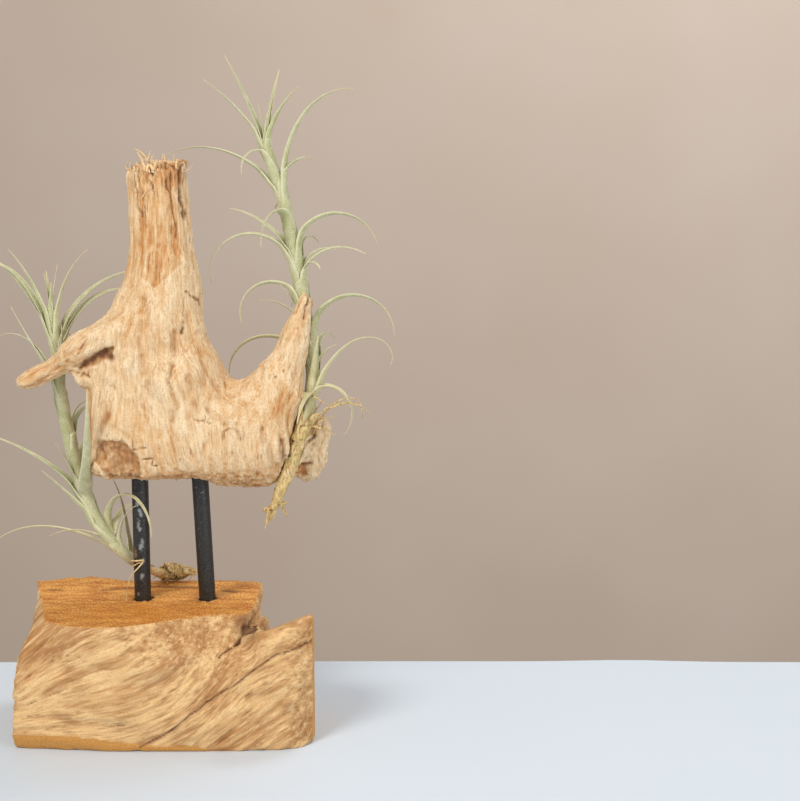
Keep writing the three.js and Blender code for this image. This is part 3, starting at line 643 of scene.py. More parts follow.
def carve_driftwood():
    mesh = fine_copy("driftwood", 0.0022, 5)
    points, normals = points_of(mesh), normals_of(mesh)
    x, y, z = points.T
    lump = functools.partial(noise, points)
    front = smooth(-normals[:, 1], -0.1, 0.45)
    neck = smooth(z, *NECK) * (np.abs(x + 0.003) < NECK_HALF)
    limb = np.maximum(neck, np.maximum(smooth(x, 0.072, 0.085), smooth(-x, 0.045, 0.06)))
    body = 1 - limb
    lobe = smooth(x, *LOBE_X) * (z < LOBE_TOP)
    rim = smooth(-z, *RIM)
    torn = smooth(z, *TORN)
    fine = streaks(points, wood_grain, 0.0011, 0.012, 1)
    broad = streaks(points, wood_grain, 0.0034, 0.020, 2)
    warp = points + 0.006 * np.stack([lump(0.020, seed) for seed in (51, 52, 53)], axis=1)

    rise = body * lumps(warp, *FOLDS) + lumps(points, *SKIN) + limb * lumps(points, *LIMB_SKIN)
    rise += (0.00007 + 0.00024 * limb) * broad + (0.00006 + 0.00014 * limb) * fine
    edge = np.zeros(len(points))
    for seed, size, height in PLATES:
        layer = streaks(warp, wood_grain, size * MM, 3.5 * size * MM, seed)
        for level in PLATE_EDGES:
            rise += height * MM * smooth(layer, level, level + 0.16) * (0.4 + 0.6 * body)
            edge = np.maximum(edge, bell(layer - level, 0.14))
    edge *= smooth(lump(0.011, 57), -0.2, 0.5)
    rise -= 0.0008 * smooth(-fine, 1.6, 2.6) * (0.25 + 0.6 * limb)
    rise -= 0.0008 * smooth(-broad, 1.5, 2.4) * (0.15 + 0.6 * limb)
    rise += lobe * smooth(y, 0.000, 0.006) * lumps(points, *BARK) + rim * lumps(points, *RIM_EDGE)

    low = PANEL_LOW[1] + PANEL_RISE * np.abs(x - PANEL_LOW[0]) + 0.001 * lump(0.003, 70)
    panel = from_to(x, *PANEL_SIDES, 0.0008) * smooth(z - low, 0, 0.0015) * front
    tear = from_to(x, *TEAR_SIDES, 0.001) * smooth(z + 0.0016 * fine, TEAR_LOW, TEAR_LOW + 0.001) * front
    rise += 0.0005 * tear - 0.0005 * panel * (1 - tear)
    rise += (0.4 * torn + 0.6 * tear) * (0.0005 * broad - 0.0013 * smooth(-fine, -0.2, 1.4))

    mark = np.zeros(len(points))
    bent = x + lumps(points, *WOBBLE)
    rough = lump(0.0030, 74) + 0.6 * lump(0.0016, 75)
    sunk = []
    for soft, depth, *_, corners in HOLLOWS:
        inside = in_shape(bent, z, pairs(corners)) + 0.0005 * lump(0.003, 73)
        sunk.append(smooth(inside, 0, soft * MM) * front)
        rise -= sunk[-1] * (depth * MM - 0.0006 * rough)
    gaps = smooth(lump(0.006, 61), -1.0, 0.0)
    # The lines' dark, which under the arm and beside the right stem is painted shade.
    for width, depth, dark, line in MARKS:
        cut = bell(from_line(bent, z, pairs(line)), width * MM) * front * gaps
        rise -= depth * MM * cut
        mark = np.maximum(mark, dark * cut)
    ring = np.hypot(x - KNOT[0], z - KNOT[1]) / KNOT_SIZE
    rise += KNOT_HEIGHT * front * (bell(ring - 0.8, 0.2) - 0.5 * bell(ring, 0.4))
    set_points(mesh, points + normals * rise[:, None])

    tan = 0.28 + 0.14 * lump(0.026, 7) + 0.12 * noise(warp, 0.009, 8) - 0.04 * broad
    tan += 0.12 * limb * (1 - lobe) - 0.25 * lobe
    tan += 0.34 * panel * (1 - 0.15 * fine) + 0.5 * tear + 0.25 * rim
    # Painted light and shade: the left side of the neck is tanner as painted shade, and its right side paler
    # as painted light.
    tan += neck * (0.18 * smooth(-x, 0.008, 0.014) - 0.12 * smooth(x, 0.013, 0.018))
    brown = 0.15 * rim * smooth(lump(0.004, 72), 0.0, 0.5)
    # The hollows' tan and brown, which under the arm are painted shade.
    for (_, _, tan_here, brown_here, _), share in zip(HOLLOWS, sunk):
        tan += (tan_here - tan) * share
        brown = np.maximum(brown, share * brown_here * (1 - 0.7 * rough))
    for *place, tan_here, brown_here in STAINS:
        patch = in_patch(x, z, *place) * front
        patch = np.clip(patch * (0.85 + 0.35 * lump(0.0035, 9) + 0.12 * fine), 0, 1)
        tan = np.maximum(tan, tan + (tan_here - tan) * patch)
        brown = np.maximum(brown, brown_here * patch)
    dent = hollowness(mesh, 4) / DENT
    wide = hollowness(mesh, 24) / WIDE_DENT
    # Painted shade and highlight: the tan deepens in the dents and broad hollows of the form, and pales on
    # its ridges.
    tan += 0.36 * np.clip(wide, -1, 1) + 0.18 * np.clip(dent, -1, 1) + 0.12 * edge
    # Painted shade also darkens the deepest dents, beside the dark of the marks and the brown stains.
    shade = mark + brown + 0.45 * np.clip(dent - 0.7, 0, 1) + 0.10 * edge
    shade += (0.25 * torn + 0.60 * tear) * smooth(-fine, -0.2, 1.6)
    set_values(
        mesh,
        tan=np.clip(tan, 0, 1),
        hollow=np.clip(shade, 0, 1),
        streak=(0.7 * fine + 0.5 * broad) * (0.75 + 0.25 * limb + 0.2 * panel),
        fibres=among_fibres(points, wood_grain),
    )
    return mesh


# ---------------------------------------------------------------- block
# How steeply the grain rises at places of the front: x, z and degrees.
FRONT_GRAIN = [
    (-102, 20, 6), (-98, 50, 40), (-92, 78, 48), (-70, 72, 30), (-60, 50, 20), (-60, 15, 2), (-35, 75, 22),
    (-35, 50, 16), (-35, 25, 4), (-10, 70, 26), (-8, 45, 26), (-10, 18, 22), (12, 68, 44), (14, 40, 38),
    (14, 12, 34), (28, 78, 66), (32, 52, 52), (42, 84, 80), (45, 30, 40), (62, 64, 30), (70, 35, 36),
    (85, 74, 20), (96, 50, 16), (96, 20, 28), (62, 10, 34),
]
FRONT_SPREAD = 0.012  # how far each of them reaches
BLOCK_CRACK = [
    -16, 3.6, 1.6, 13.1, 19.4, 27.8, 37, 40.2, 49, 47.2, 60.7, 55.7, 75.2, 66.6, 81, 69, 89.7, 70.8, 103.5,
    75,
]
CLEFT = [
    47.3, 70.5, 52.6, 76.6, 53, 82.6, 62, 85.6, 63.2, 88.6, 70.7, 89.2, 66, 83.8, 63, 80.2, 60.7, 78.7,
    54.9, 76.9, 52.8, 71.8,
]
CLEFT_TAIL = [47.3, 70.5, 42.6, 68.1, 39.1, 65.1]
TOP_CRACKS = [  # seen from above: corners (x, y)
    [-56.1, 30, -40, 34, -23, 37.8, -5, 37.8, 12.7, 35],
    [33, 29, 42, 25],
    [-96, 31, -90, 31],
]
SAWN_STRIP = [-60, 12, -24, 7.6, 4, 4, 10, 6.2, 28, 3.6, 36, -2]  # along the front's foot: x and top
BEVEL = (-0.0520, 0.094, 0.4)  # its plane: y at the bottom left, and how fast that falls with x and z
# Stains of the front: middle (x, z), half sizes, tilt and how brown they are.
FRONT_STAINS = [
    (2, 56, 34, 6, 30, 0.35), (-26, 20, 30, 8, -8, 0.35), (18, 8, 20, 6, 0, 0.4), (56, 82, 12, 14, 0, 0.8),
    (88, 30, 6, 6, 0, 0.45), (72, 50, 4, 3, 0, 0.5), (92, 92, 14, 4, 25, 0.45),
]
AMBER = (-10, -26, 95, 44, 0)  # where the oil of the top is deepest, seen from above: middle and half sizes
TOP_END = 0.066  # x at which the flat top ends
ROD_HOLE = (0.0085, 0.0022)  # distance and width of the torn wood round each rod


def block_grain(points):
    """The way that the block's grain runs: along it, and up and down its front as the fibres swirl there."""
    x, z = points[:, 0], points[:, 2]
    weight = np.full(len(points), 1e-6)
    slope = np.zeros(len(points))
    for at_x, at_z, rise in FRONT_GRAIN:
        near = np.exp(-((x - at_x * MM) ** 2 + (z - at_z * MM) ** 2) / (2 * FRONT_SPREAD**2))
        weight += near
        slope += near * math.radians(rise)
    slope /= weight
    return np.stack([np.cos(slope), 0 * slope, np.sin(slope)], axis=1)


def carve_block():
    mesh = fine_copy("base_block", 0.0025, 2)
    points, normals = points_of(mesh), normals_of(mesh)
    x, y, z = points.T
    lump = functools.partial(noise, points)
    to_right, to_front, to_top = normals[:, 0], -normals[:, 1], normals[:, 2]
    front = smooth(to_front, 0.0, 0.5)
    top = smooth(to_top, 0.75, 0.95) * (z > BLOCK_TOP - 0.003) * (x < TOP_END)
    off_plane = y - BEVEL[0] + BEVEL[1] * (x + 0.125) + BEVEL[2] * (z + 0.001)
    bevel = smooth(-np.abs(off_plane), -0.0009, -0.0005) * (to_front > 0.5) * (z < 0.03)
    end = smooth(to_right, 0.8, 0.93) * (x > 0.09)
    under = smooth(-to_top, 0.8, 0.95)
    strip = smooth(np.interp(x, *pairs(SAWN_STRIP).T) + 0.0007 * lump(0.004, 27) - z, 0, 0.0006)
    strip *= smooth(to_front, 0.1, 0.5)
    sawn = np.clip(bevel + end + under + strip, 0, 1)
    rough = 1 - np.clip(sawn + top, 0, 1)
    fine = streaks(points, block_grain, 0.0011, 0.016, 11)
    middle = streaks(points, block_grain, 0.0026, 0.030, 12)
    band = streaks(points, block_grain, 0.0075, 0.050, 13)
    rise = rough * (0.00014 * fine + 0.00020 * middle + 0.00022 * band + lumps(points, (0.6, 10, 14)))
    rise -= 0.0007 * rough * smooth(-fine, 1.7, 2.6)
    rise += (1 - rough) * lumps(points, (0.08, 1.6, 15))

    away = from_line(x, z + lumps(points, (0.8, 6, 16)), pairs(BLOCK_CRACK))
    split = bell(away, 0.0007) * smooth(to_front, 0.3, 0.7) * smooth(lump(0.012, 18), -1.5, -0.5)
    bent = x + lumps(points, (0.6, 3, 19))
    cleft = smooth(in_shape(bent, z, pairs(CLEFT)), -0.0004, 0.0010) * (y < 0)
    cleft = np.maximum(cleft, bell(from_line(bent, z, pairs(CLEFT_TAIL)), 0.0005) * front)
    cracked = np.zeros(len(points))
    for line in TOP_CRACKS:
        away = from_line(x, y + lumps(points, (1.0, 8, 20)), pairs(line))
        cracked = np.maximum(cracked, bell(away, 0.0024) * top)
    torn = np.zeros(len(points))
    for at_x, at_y in ROD_FOOT.values():
        away = np.hypot(x - at_x, y - at_y)
        torn = np.maximum(torn, bell(away - ROD_HOLE[0], ROD_HOLE[1]) * top)
    splinters = lump(0.0026, 25)
    rise += 0.0008 * torn * smooth(splinters, 0.0, 0.5) - 0.0014 * split - 0.0030 * cleft - 0.0012 * cracked
    set_points(mesh, points + normals * rise[:, None])

    brown = np.maximum(0.95 * cleft, 0.9 * cracked)
    brown = np.maximum(brown, 0.5 * torn * smooth(-splinters, 0.1, 0.6))
    for *place, brown_here in FRONT_STAINS:
        patch = in_patch(x, z, *place) * front
        brown = np.maximum(brown, brown_here * patch * (0.7 + 0.3 * lump(0.003, 17)))
    dent = hollowness(mesh, 4) / DENT
    set_values(
        mesh,
        streak=0.75 * fine + 0.45 * middle,
        band=band + 0.5 * middle,
        sawn=sawn,
        oiled=top * (1 - 0.6 * torn * smooth(splinters, 0.0, 0.5)),
        amber=in_patch(x, y, *AMBER) * (0.7 + 0.3 * lump(0.01, 26)),
        # The splits, cleft, cracks and stains are brown here, and the deepest dents get painted shade.
        hollow=np.clip(0.90 * split + brown + 0.45 * np.clip(dent - 0.7, 0, 1), 0, 1),
        fibres=among_fibres(points, block_grain),
    )
    return mesh


# ---------------------------------------------------------------- rods
ROD_SIDES = 56
ROD_RINGS = 260
# Scuffs of the left rod: degrees round it from its front, height over its foot and size.
SCUFFS = [
    (-14, 72.4, 2), (0, 67.5, 1.9), (6, 64.8, 1.6), (-8, 57.5, 2), (-2, 54.5, 1.8), (12, 44, 2),
    (4, 41, 2.4), (14, 30, 2), (8, 19, 2), (-20, 5, 1.4),
]
RUST = [(-42, 37.5, 1.6), (-38, 35, 1.4), (-36, 32.5, 1.2)]


def spots(rows, turn, s):
    """Up to 1 in the middle of each spot, as drawn round a rod."""
    best = np.full(len(s), -1.0)
    for degrees, height, size in rows:
        around = np.angle(np.exp(1j * (turn - math.radians(270 + degrees)))) * ROD_RADIUS
        best = np.maximum(best, 1 - np.hypot(around, 0.6 * (s - height * MM)) / (size * MM))
    return best


def rod_mesh(side):
    """A round bar with chipped paint: the chips are shallow dents."""
    along = np.linspace(*ROD_SPAN, ROD_RINGS)
    turn = np.linspace(0, 2 * math.pi, ROD_SIDES, endpoint=False)
    s, a = (grid.ravel() for grid in np.meshgrid(along, turn, indexing="ij"))
    spot = np.stack([np.cos(a) * ROD_RADIUS, np.sin(a) * ROD_RADIUS, s], axis=1)
    bare = 0.6 * smooth(noise(spot, 0.0030, 21) + 0.55 * noise(spot, 0.0013, 22), 1.0, 1.15)
    rust = np.zeros(len(s))
    if side == "left":
        ragged = 0.55 * noise(spot, 0.0015, 27) + 0.25 * noise(spot, 0.0007, 28)
        bare = np.maximum(0.5 * bare, smooth(spots(SCUFFS, a, s) + ragged, 0.10, 0.60))
        rust = smooth(spots(RUST, a, s) + 1.4 * ragged, 0.15, 0.60)
        bare = bare * (1 - rust)
    axis = np.array([math.sin(ROD_LEAN[side]), 0, math.cos(ROD_LEAN[side])])
    line = np.array([*ROD_FOOT[side], BLOCK_TOP]) + along[:, None] * axis
    radius = ROD_RADIUS - 0.00012 * bare + lumps(spot, (0.04, 2, 24))
    points, _ = round_rings(line, np.tile(axis, (ROD_RINGS, 1)), radius, ROD_SIDES, (0, 1, 0))
    return skins_mesh(f"rod_{side}_bar", [(ROD_RINGS, ROD_SIDES, points, {"bare": bare, "rust": rust})])


# ---------------------------------------------------------------- air plants
# A stem is a smooth curve through these places, and its radius there comes last in each row.
RIGHT_STEM = [
    (72, -9, 154, 2.4), (80, -10, 175, 4), (87, -10, 193, 5.2), (92, -8, 209, 5.6), (97, -3, 223, 5.6),
    (100.5, 4, 238, 5.2), (102.5, 9, 252, 5.2), (101.5, 16, 272, 5.4), (97, 22, 297, 5.5),
    (91, 25, 332, 5.2), (84.5, 26, 368, 4.8), (74.5, 25, 403, 4.4), (68, 24, 421, 3),
]
LEFT_STEM = [
    (11, 54, 97, 1), (2, 55, 96.4, 4), (-8, 54, 96.4, 5.8), (-15, 43, 98.5, 5.4), (-19, 30, 104, 4),
    (-25, 19.5, 112, 3.8), (-34, 14, 120, 4), (-45.6, 9, 134, 4.6), (-55.8, 9, 149, 5),
    (-63.8, 11, 168, 5.2), (-69.8, 14, 187, 5.2), (-73.7, 15, 206, 5), (-76.7, 14, 225, 4.8),
    (-78.6, 11.5, 242, 4.6), (-79, 11, 257, 4.6), (-80.5, 11, 277, 4.6), (-82, 11, 291, 3.9),
    (-83, 11, 304, 1.8),
]
# Leaves: where they start along the stem, compass side (0 is +X, 90 the back), first lean from upright, how
# far they bend over, length, how late they bend, and half their breadth where it isn't the usual one.
RIGHT_LEAVES = [
    (271, 178, 16, 12, 73, 1), (276, 186, 28, 26, 62, 1), (273, 32, 0, 18, 58, 1),
    (275, 338, 4, 46, 50, 0.8), (269, 215, 30, 160, 32, 0.8), (243, 352, 6, 87, 98, 2),
    (247, 335, 5, 78, 31, 1), (250, 20, 6, 100, 34, 1), (246, 173, 44, 72, 90, 1.4),
    (201, 170, 44, 38, 54, 2), (192, 186, 28, 164, 88, 1.2), (226, 238, 50, 135, 44, 0.8),
    (201, 0, 6, 157, 80, 1), (178, 348, -2, 120, 60, 0.8), (184, 30, 10, 104, 38, 1),
    (176, 315, 2, 150, 32, 1.6), (163, 182, 20, 178, 68, 1), (148, 176, 20, 22, 34, 1),
    (146, 172, 38, 60, 38, 1.6), (126, 164, 60, 118, 78, 1.6), (139, 356, 6, 176, 91, 1.1),
    (98, 355, 30, 182, 88, 2.8), (94, 340, 5, 218, 60, 0.7), (100, 300, 8, 10, 40, 1, 6),
    (109, 340, 0, 66, 30, 1), (95, 256, 92, 50, 34, 1),
]
LEFT_LEAVES = [
    (249, 180, 22, 92, 80, 3.2), (250, 172, 27, 30, 73, 2), (254, 196, 17, 22, 65, 2),
    (254, 150, 1, 5, 43, 1), (254, 352, 8, 42, 65, 1.8), (246, 20, 19, 72, 88, 1.2),
    (241, 20, 26, 112, 86, 2), (236, 30, 16, 106, 82, 1.8), (234, 325, 28, -40, 26, 1),
    (215, 176, 32, -6, 64, 1), (217, 166, 26, 88, 60, 2.2), (130, 184, 34, 38, 90, 0.8),
    (110, 196, 38, 6, 54, 1, 6.5), (138, 208, 19, 11, 38, 1), (132, 287, 54, -50, 100, 1, 8.8),
    (176, 4, 0, 86, 33, 2.2), (90, 318, -58, 240, 96, 0.9), (74, 182, 59, 72, 106, 2),
    (77, 200, 42, 70, 60, 1.6), (84, 322, -16, 80, 42, 1), (72, 170, 4, 22, 62, 2.6),
    (113, 190, 40, -80, 32, 1),
]
RIGHT_DRY = [
    (72, 342, 50, 104, 56, 2.6), (68, 325, 60, 60, 28, 1), (60, 304, 8, 12, 24, 1, 5),
    (42, 304, 12, 12, 26, 1, 4.6), (26, 300, 12, 10, 26, 1, 5), (8, 205, 170, -25, 15, 1),
    (14, 340, 140, 20, 14, 1),
]
BACK_SIDES = (72, 108, 90)
RIGHT_BACK = [(122 + 24 * i, BACK_SIDES[i % 3], 30, 95, 50, 1) for i in range(6)]
LEFT_BACK = [(96 + 27 * i, BACK_SIDES[i % 3], 28, 85, 48, 1) for i in range(6)]
# Each plant: its stem and how much of it is dry, its leaves, its dry leaves, how thin its dry core is, and
# where its dry scales begin and end, with their spacing, length, lean, wilt and half breadth.
PLANTS = {
    "right": (RIGHT_STEM, 85, RIGHT_LEAVES + RIGHT_BACK, RIGHT_DRY, 0.92, (10, 82, 6.5, 24, 3, 0.7, 4.4)),
    "left": (LEFT_STEM, 62, LEFT_LEAVES + LEFT_BACK, [], 0.66, (2, 34, 2.6, 10, 38, 1.9, 3.0)),
}

LEAF_BREADTH = 0.0056  # half the breadth of a leaf where it clasps the stem
LEAF_TIP = 0.0003
LEAF_THICKNESS = 0.0009
SHEATH = 0.026  # length of the part that clasps the stem below the leaf
SHEATH_WRAP = (2.5, 1.25)  # how far round it reaches each way, at its foot and at its mouth, in radians
SHEATH_LIFT = (-0.0012, 0.0006)  # how far it stands off the stem there: its foot is hidden by older sheaths
MOUTH = 0.3  # share of the leaf over which it leaves the sheath
CHANNEL = (1.25, 1.0)  # how far its faces are bent each way, at its foot and at its tip, in radians
ROLL = 24  # most that a leaf turns about its own length, in degrees
SHEATH_RINGS = 6
BLADE_RINGS = 30
SECTION = 7  # points across each face of a leaf
GOLDEN_TURN = 137.5  # degrees from one leaf to the next round a stem
CORE_SIDES = 20
CORE_STEP = 0.0025  # from one ring of a stem's core to the next
OLD_LEAVES = 0.06  # length of living stem over which the leaves fade from old to fresh
HEARTS = 3  # young leaves that stand up at each tip
STEM_SIDE = (0.2, -1.0, 0.1)  # a way that no stem runs, from which turns round it are counted


def through(points, chords, ease):
    """A smooth line through points, with so many chords from each to the next."""
    p = np.array(points, float)
    p = np.vstack([2 * p[0] - p[1], p, 2 * p[-1] - p[-2]])
    t = np.linspace(0, 1, chords, endpoint=False)[:, None]
    spans = [ease(p[i - 1 : i + 3], t) for i in range(1, len(p) - 2)]
    return np.vstack([*spans, p[-2]])


def even_span(p, t):
    """The curve from the second of four points to the third, as if they lay evenly apart."""
    a, b, c, d = p
    square, cube = a - 2.5 * b + 2 * c - 0.5 * d, 1.5 * b - 1.5 * c + 0.5 * d - 0.5 * a
    return b + 0.5 * t * (c - a) + t**2 * square + t**3 * cube


def spaced_span(p, t):
    """The curve for points at uneven distances. The radius runs straight from one to the next."""
    p0, p1, p2, p3 = p[:, :3]
    d0, d1, d2 = np.sqrt(np.linalg.norm(np.diff(p[:, :3], axis=0), axis=1))
    out = ((p1 - p0) / d0 - (p2 - p0) / (d0 + d1) + (p2 - p1) / d1) * d1
    into = ((p2 - p1) / d1 - (p3 - p1) / (d1 + d2) + (p3 - p2) / d2) * d1
    curve = p1 + out * t + (3 * (p2 - p1) - 2 * out - into) * t**2 + (2 * (p1 - p2) + out + into) * t**3
    return np.hstack([curve, p[1, 3:] + (p[2, 3:] - p[1, 3:]) * t])


class Stem:
    """The smooth curve of a stem, found by the distance along it."""

    def __init__(self, rows, dry):
        line = through(np.array(rows) * MM, 60, spaced_span)
        self.curve, self.thickness = line[:, :3], line[:, 3]
        self.along = np.append(0, np.cumsum(np.linalg.norm(np.diff(self.curve, axis=0), axis=1)))
        self.length = self.along[-1]
        self.dry = dry * MM

    def point(self, at):
        return np.stack([np.interp(at, self.along, part) for part in self.curve.T], axis=-1)

    def radius(self, at):
        return np.interp(at, self.along, self.thickness)

    def tangent(self, at):
        return unit(self.point(np.asarray(at) + 0.002) - self.point(np.asarray(at) - 0.002))


def leaf(stem, row, seed, age=0.0, wilt=0.0, along=False):
    """One channelled leaf with the sheath that it grows from, as a thin closed skin for skins_mesh."""
    at, compass, lean, curl, length, hook, *breadth = row
    at, length = at * MM, length * MM
    usual = LEAF_BREADTH * min(max(length / 0.070, 0.5), 1.1) ** 0.7
    breadth = breadth[0] * MM if breadth else usual
    turn = math.radians(compass)
    upward, first, second = UP, np.array([1.0, 0, 0]), np.array([0, 1.0, 0])
    if along:
        upward = stem.tangent(at)
        first, second = square_to(upward, STEM_SIDE)
    outward = math.cos(turn) * first + math.sin(turn) * second
    across = np.cross(upward, outward)

    low = max(at - SHEATH, 0.001)
    q = np.linspace(0, 1, SHEATH_RINGS, endpoint=False)
    sheath_at = low + (at - low) * q
    axis = stem.tangent(sheath_at)
    face_out = unit(outward - (axis @ outward)[:, None] * axis)
    reach = stem.radius(sheath_at) + SHEATH_LIFT[0] + (SHEATH_LIFT[1] - SHEATH_LIFT[0]) * q
    sheath = stem.point(sheath_at) + face_out * reach[:, None]

    s = np.linspace(0, 1, BLADE_RINGS + 1)
    bend = np.radians(lean + curl * s**hook)
    ahead = np.outer(np.sin(bend), outward) + np.outer(np.cos(bend), upward)
    blade = np.vstack([np.zeros(3), np.cumsum(ahead[1:] * length / BLADE_RINGS, axis=0)])
    radius = float(stem.radius(at))
    blade = blade + stem.point(at) + outward * radius * 0.5
    mouth_out = unit(outward - (stem.tangent(at) @ outward) * stem.tangent(at))
    offset = stem.point(at) + mouth_out * (radius + SHEATH_LIFT[1]) - blade[0]
    keel = np.vstack([sheath, blade + offset * (1 - smooth(s, 0, 0.25))[:, None]])

    way = unit(np.gradient(keel, axis=0))
    roll = np.radians(ROLL * math.sin(at * 2400 + compass)) * np.minimum(1, 3 * s)
    inner = np.outer(-np.cos(bend), outward) + np.outer(np.sin(bend), upward)
    flank = np.outer(np.cos(roll), across) + inner * np.sin(roll)[:, None]
    flank = np.vstack([np.tile(across, (SHEATH_RINGS, 1)), flank])
    flank = unit(flank - (flank * way).sum(axis=1)[:, None] * way)
    inward = np.cross(way, flank)

    half = breadth * (0.72 * (1 - s) ** 0.85 + 0.28 * np.exp(-5 * s)) + LEAF_TIP
    cup = CHANNEL[0] + (CHANNEL[1] - CHANNEL[0]) * s + 0.8 * wilt * s
    mouth = 1 - smooth(s, 0, MOUTH)
    cup = cup + (SHEATH_WRAP[1] - cup) * mouth
    half = half + ((radius + SHEATH_LIFT[1]) * SHEATH_WRAP[1] - half) * mouth
    wrap = SHEATH_WRAP[0] + (SHEATH_WRAP[1] - SHEATH_WRAP[0]) * q
    cup, half = np.append(wrap, cup), np.append(reach * wrap, half)
    thick = LEAF_THICKNESS * np.append(0.5 + 0.5 * q, 1 - 0.55 * s)

    v = np.linspace(-1, 1, SECTION)
    angle = cup[:, None] * v
    bow = (half / cup)[:, None, None]
    sine, cosine = np.sin(angle)[..., None], np.cos(angle)[..., None]
    flank, inward = flank[:, None], inward[:, None]
    skin_out = keel[:, None] + bow * sine * flank + bow * (1 - cosine) * inward
    depth = thick[:, None] * np.maximum(1 - v**2, 0.0) ** 0.5 + 0.00006
    skin_in = skin_out + (cosine * inward - sine * flank) * depth[..., None]
    if wilt:
        crumple = noise(skin_out.reshape(-1, 3) + seed, 0.0030, 31).reshape(skin_out.shape[:2])
        shift = (wilt * 0.0014 * crumple)[..., None] * inward
        skin_out, skin_in = skin_out + shift, skin_in + shift
    values = {
        "along": np.repeat(np.append(q - 1, s), 2 * SECTION),
        "across": np.tile(np.append(v, v[::-1]), len(keel)),
        "tint": np.random.default_rng(seed).uniform(0, 1),
        "age": age,
    }
    return len(keel), 2 * SECTION, np.concatenate([skin_out, skin_in[:, ::-1]], axis=1).reshape(-1, 3), values


def stem_core(stem, low, high, age, shrink=0.93, crumple=0.2):
    """The stem itself, between two distances along it."""
    rings = int((high - low) / CORE_STEP) + 2
    at = np.linspace(low, high, rings)
    tube, out = round_rings(stem.point(at), stem.tangent(at), stem.radius(at) * shrink, CORE_SIDES, STEM_SIDE)
    tube += out * lumps(tube, (crumple, 4, 32))[:, None]
    return rings, CORE_SIDES, tube, {"along": 0, "across": 0, "tint": 0.5, "age": age}


def dry_scales(stem, low, high, step, length, lean, wilt, breadth):
    """Shrivelled scales in a spiral: their age is 1 for straw, and up to 2 where they are still olive."""
    parts = []
    for i in range(int((high - low) / step)):
        at = low + i * step
        row = (at, (10 + i * GOLDEN_TURN) % 360, lean, 12, length * (0.8 + 0.07 * (i % 5)), 1, breadth)
        age = 1 + smooth(at * MM / stem.dry, 0.45, 0.85)
        parts.append(leaf(stem, row, 200 + i, age, wilt, along=True))
    return parts


# ---------------------------------------------------------------- fibres, roots and hairs
STRAND_SIDE = (-0.31, 0.87, -0.22)  # a way that no strand runs


def strands_mesh(name, lines, sides):
    """Many strands as one mesh: each is its line, thickness, the share of that at its tip, and tint."""
    parts = []
    for line, thick, tip, tint in lines:
        radius = thick * np.linspace(1, tip, len(line))
        points, _ = round_rings(line, unit(np.gradient(line, axis=0)), radius, sides, STRAND_SIDE)
        parts.append((len(line), sides, points, {"tint": tint}))
    return skins_mesh(name, parts)


# Torn fibres, thick and thin: count, shortest and longest, thickness, share of it at the tip, and lean.
FIBRES = [
    (380, (-4.0, 0.4), (0.5, 1.4), (0.4, 0.9), 0.25),
    (70, (-1.0, 3.0), (0.10, 0.22), (0.2, 0.4), 0.7),
]
FIBRE_SUNK = 5
# Clumps of longer fibres: middle (x, y), size and extra height.
CLUMPS = [(-8.5, -6, 4, 4.2), (0, -4, 5, 1.8), (12, -2, 6, 2.6), (-6, 12, 6, 3)]
# Single splinters: both ends and half thickness.
SPIKES = [
    (-8.5, -6, 406, -16.9, -7, 414.6, 1.2), (-11, -6, 405, -15, -8, 412.5, 1),
    (-8.5, -8, 406, -5.5, -9, 413.5, 0.6), (-6, -6, 405, -4, -6, 411.2, 0.9),
    (1.8, -6, 403, 2.7, -6, 411.8, 0.5), (10, -4, 406, 9.5, -4, 412.2, 0.4),
    (15.5, -3, 398.5, 22.9, -6, 404.9, 0.4), (-21.5, 0, 400, -24.2, -2, 403.2, 0.6),
    (-12.6, -12.5, 380.8, -5.5, -12.5, 388.6, 0.4), (-5.7, -13.5, 382.9, -2, -13.5, 385, 0.4),
    (2, 15, 402, -1, 19, 411, 0.9), (-12, 12, 401, -15, 16, 408, 0.8),
]
BEARD = 16  # hairs that hang from the rim of the broken end
BEARD_OUT = 1.02  # how far out they start, beside 1 for the rim


def at_break(turn, out):
    """A place of the broken end, seen from above: this far round it and this share of the way out."""
    return (TRUNK_MIDDLE[0] + TRUNK_SPREAD[0] * out * math.cos(turn),
            TRUNK_MIDDLE[1] + TRUNK_SPREAD[1] * out * math.sin(turn))


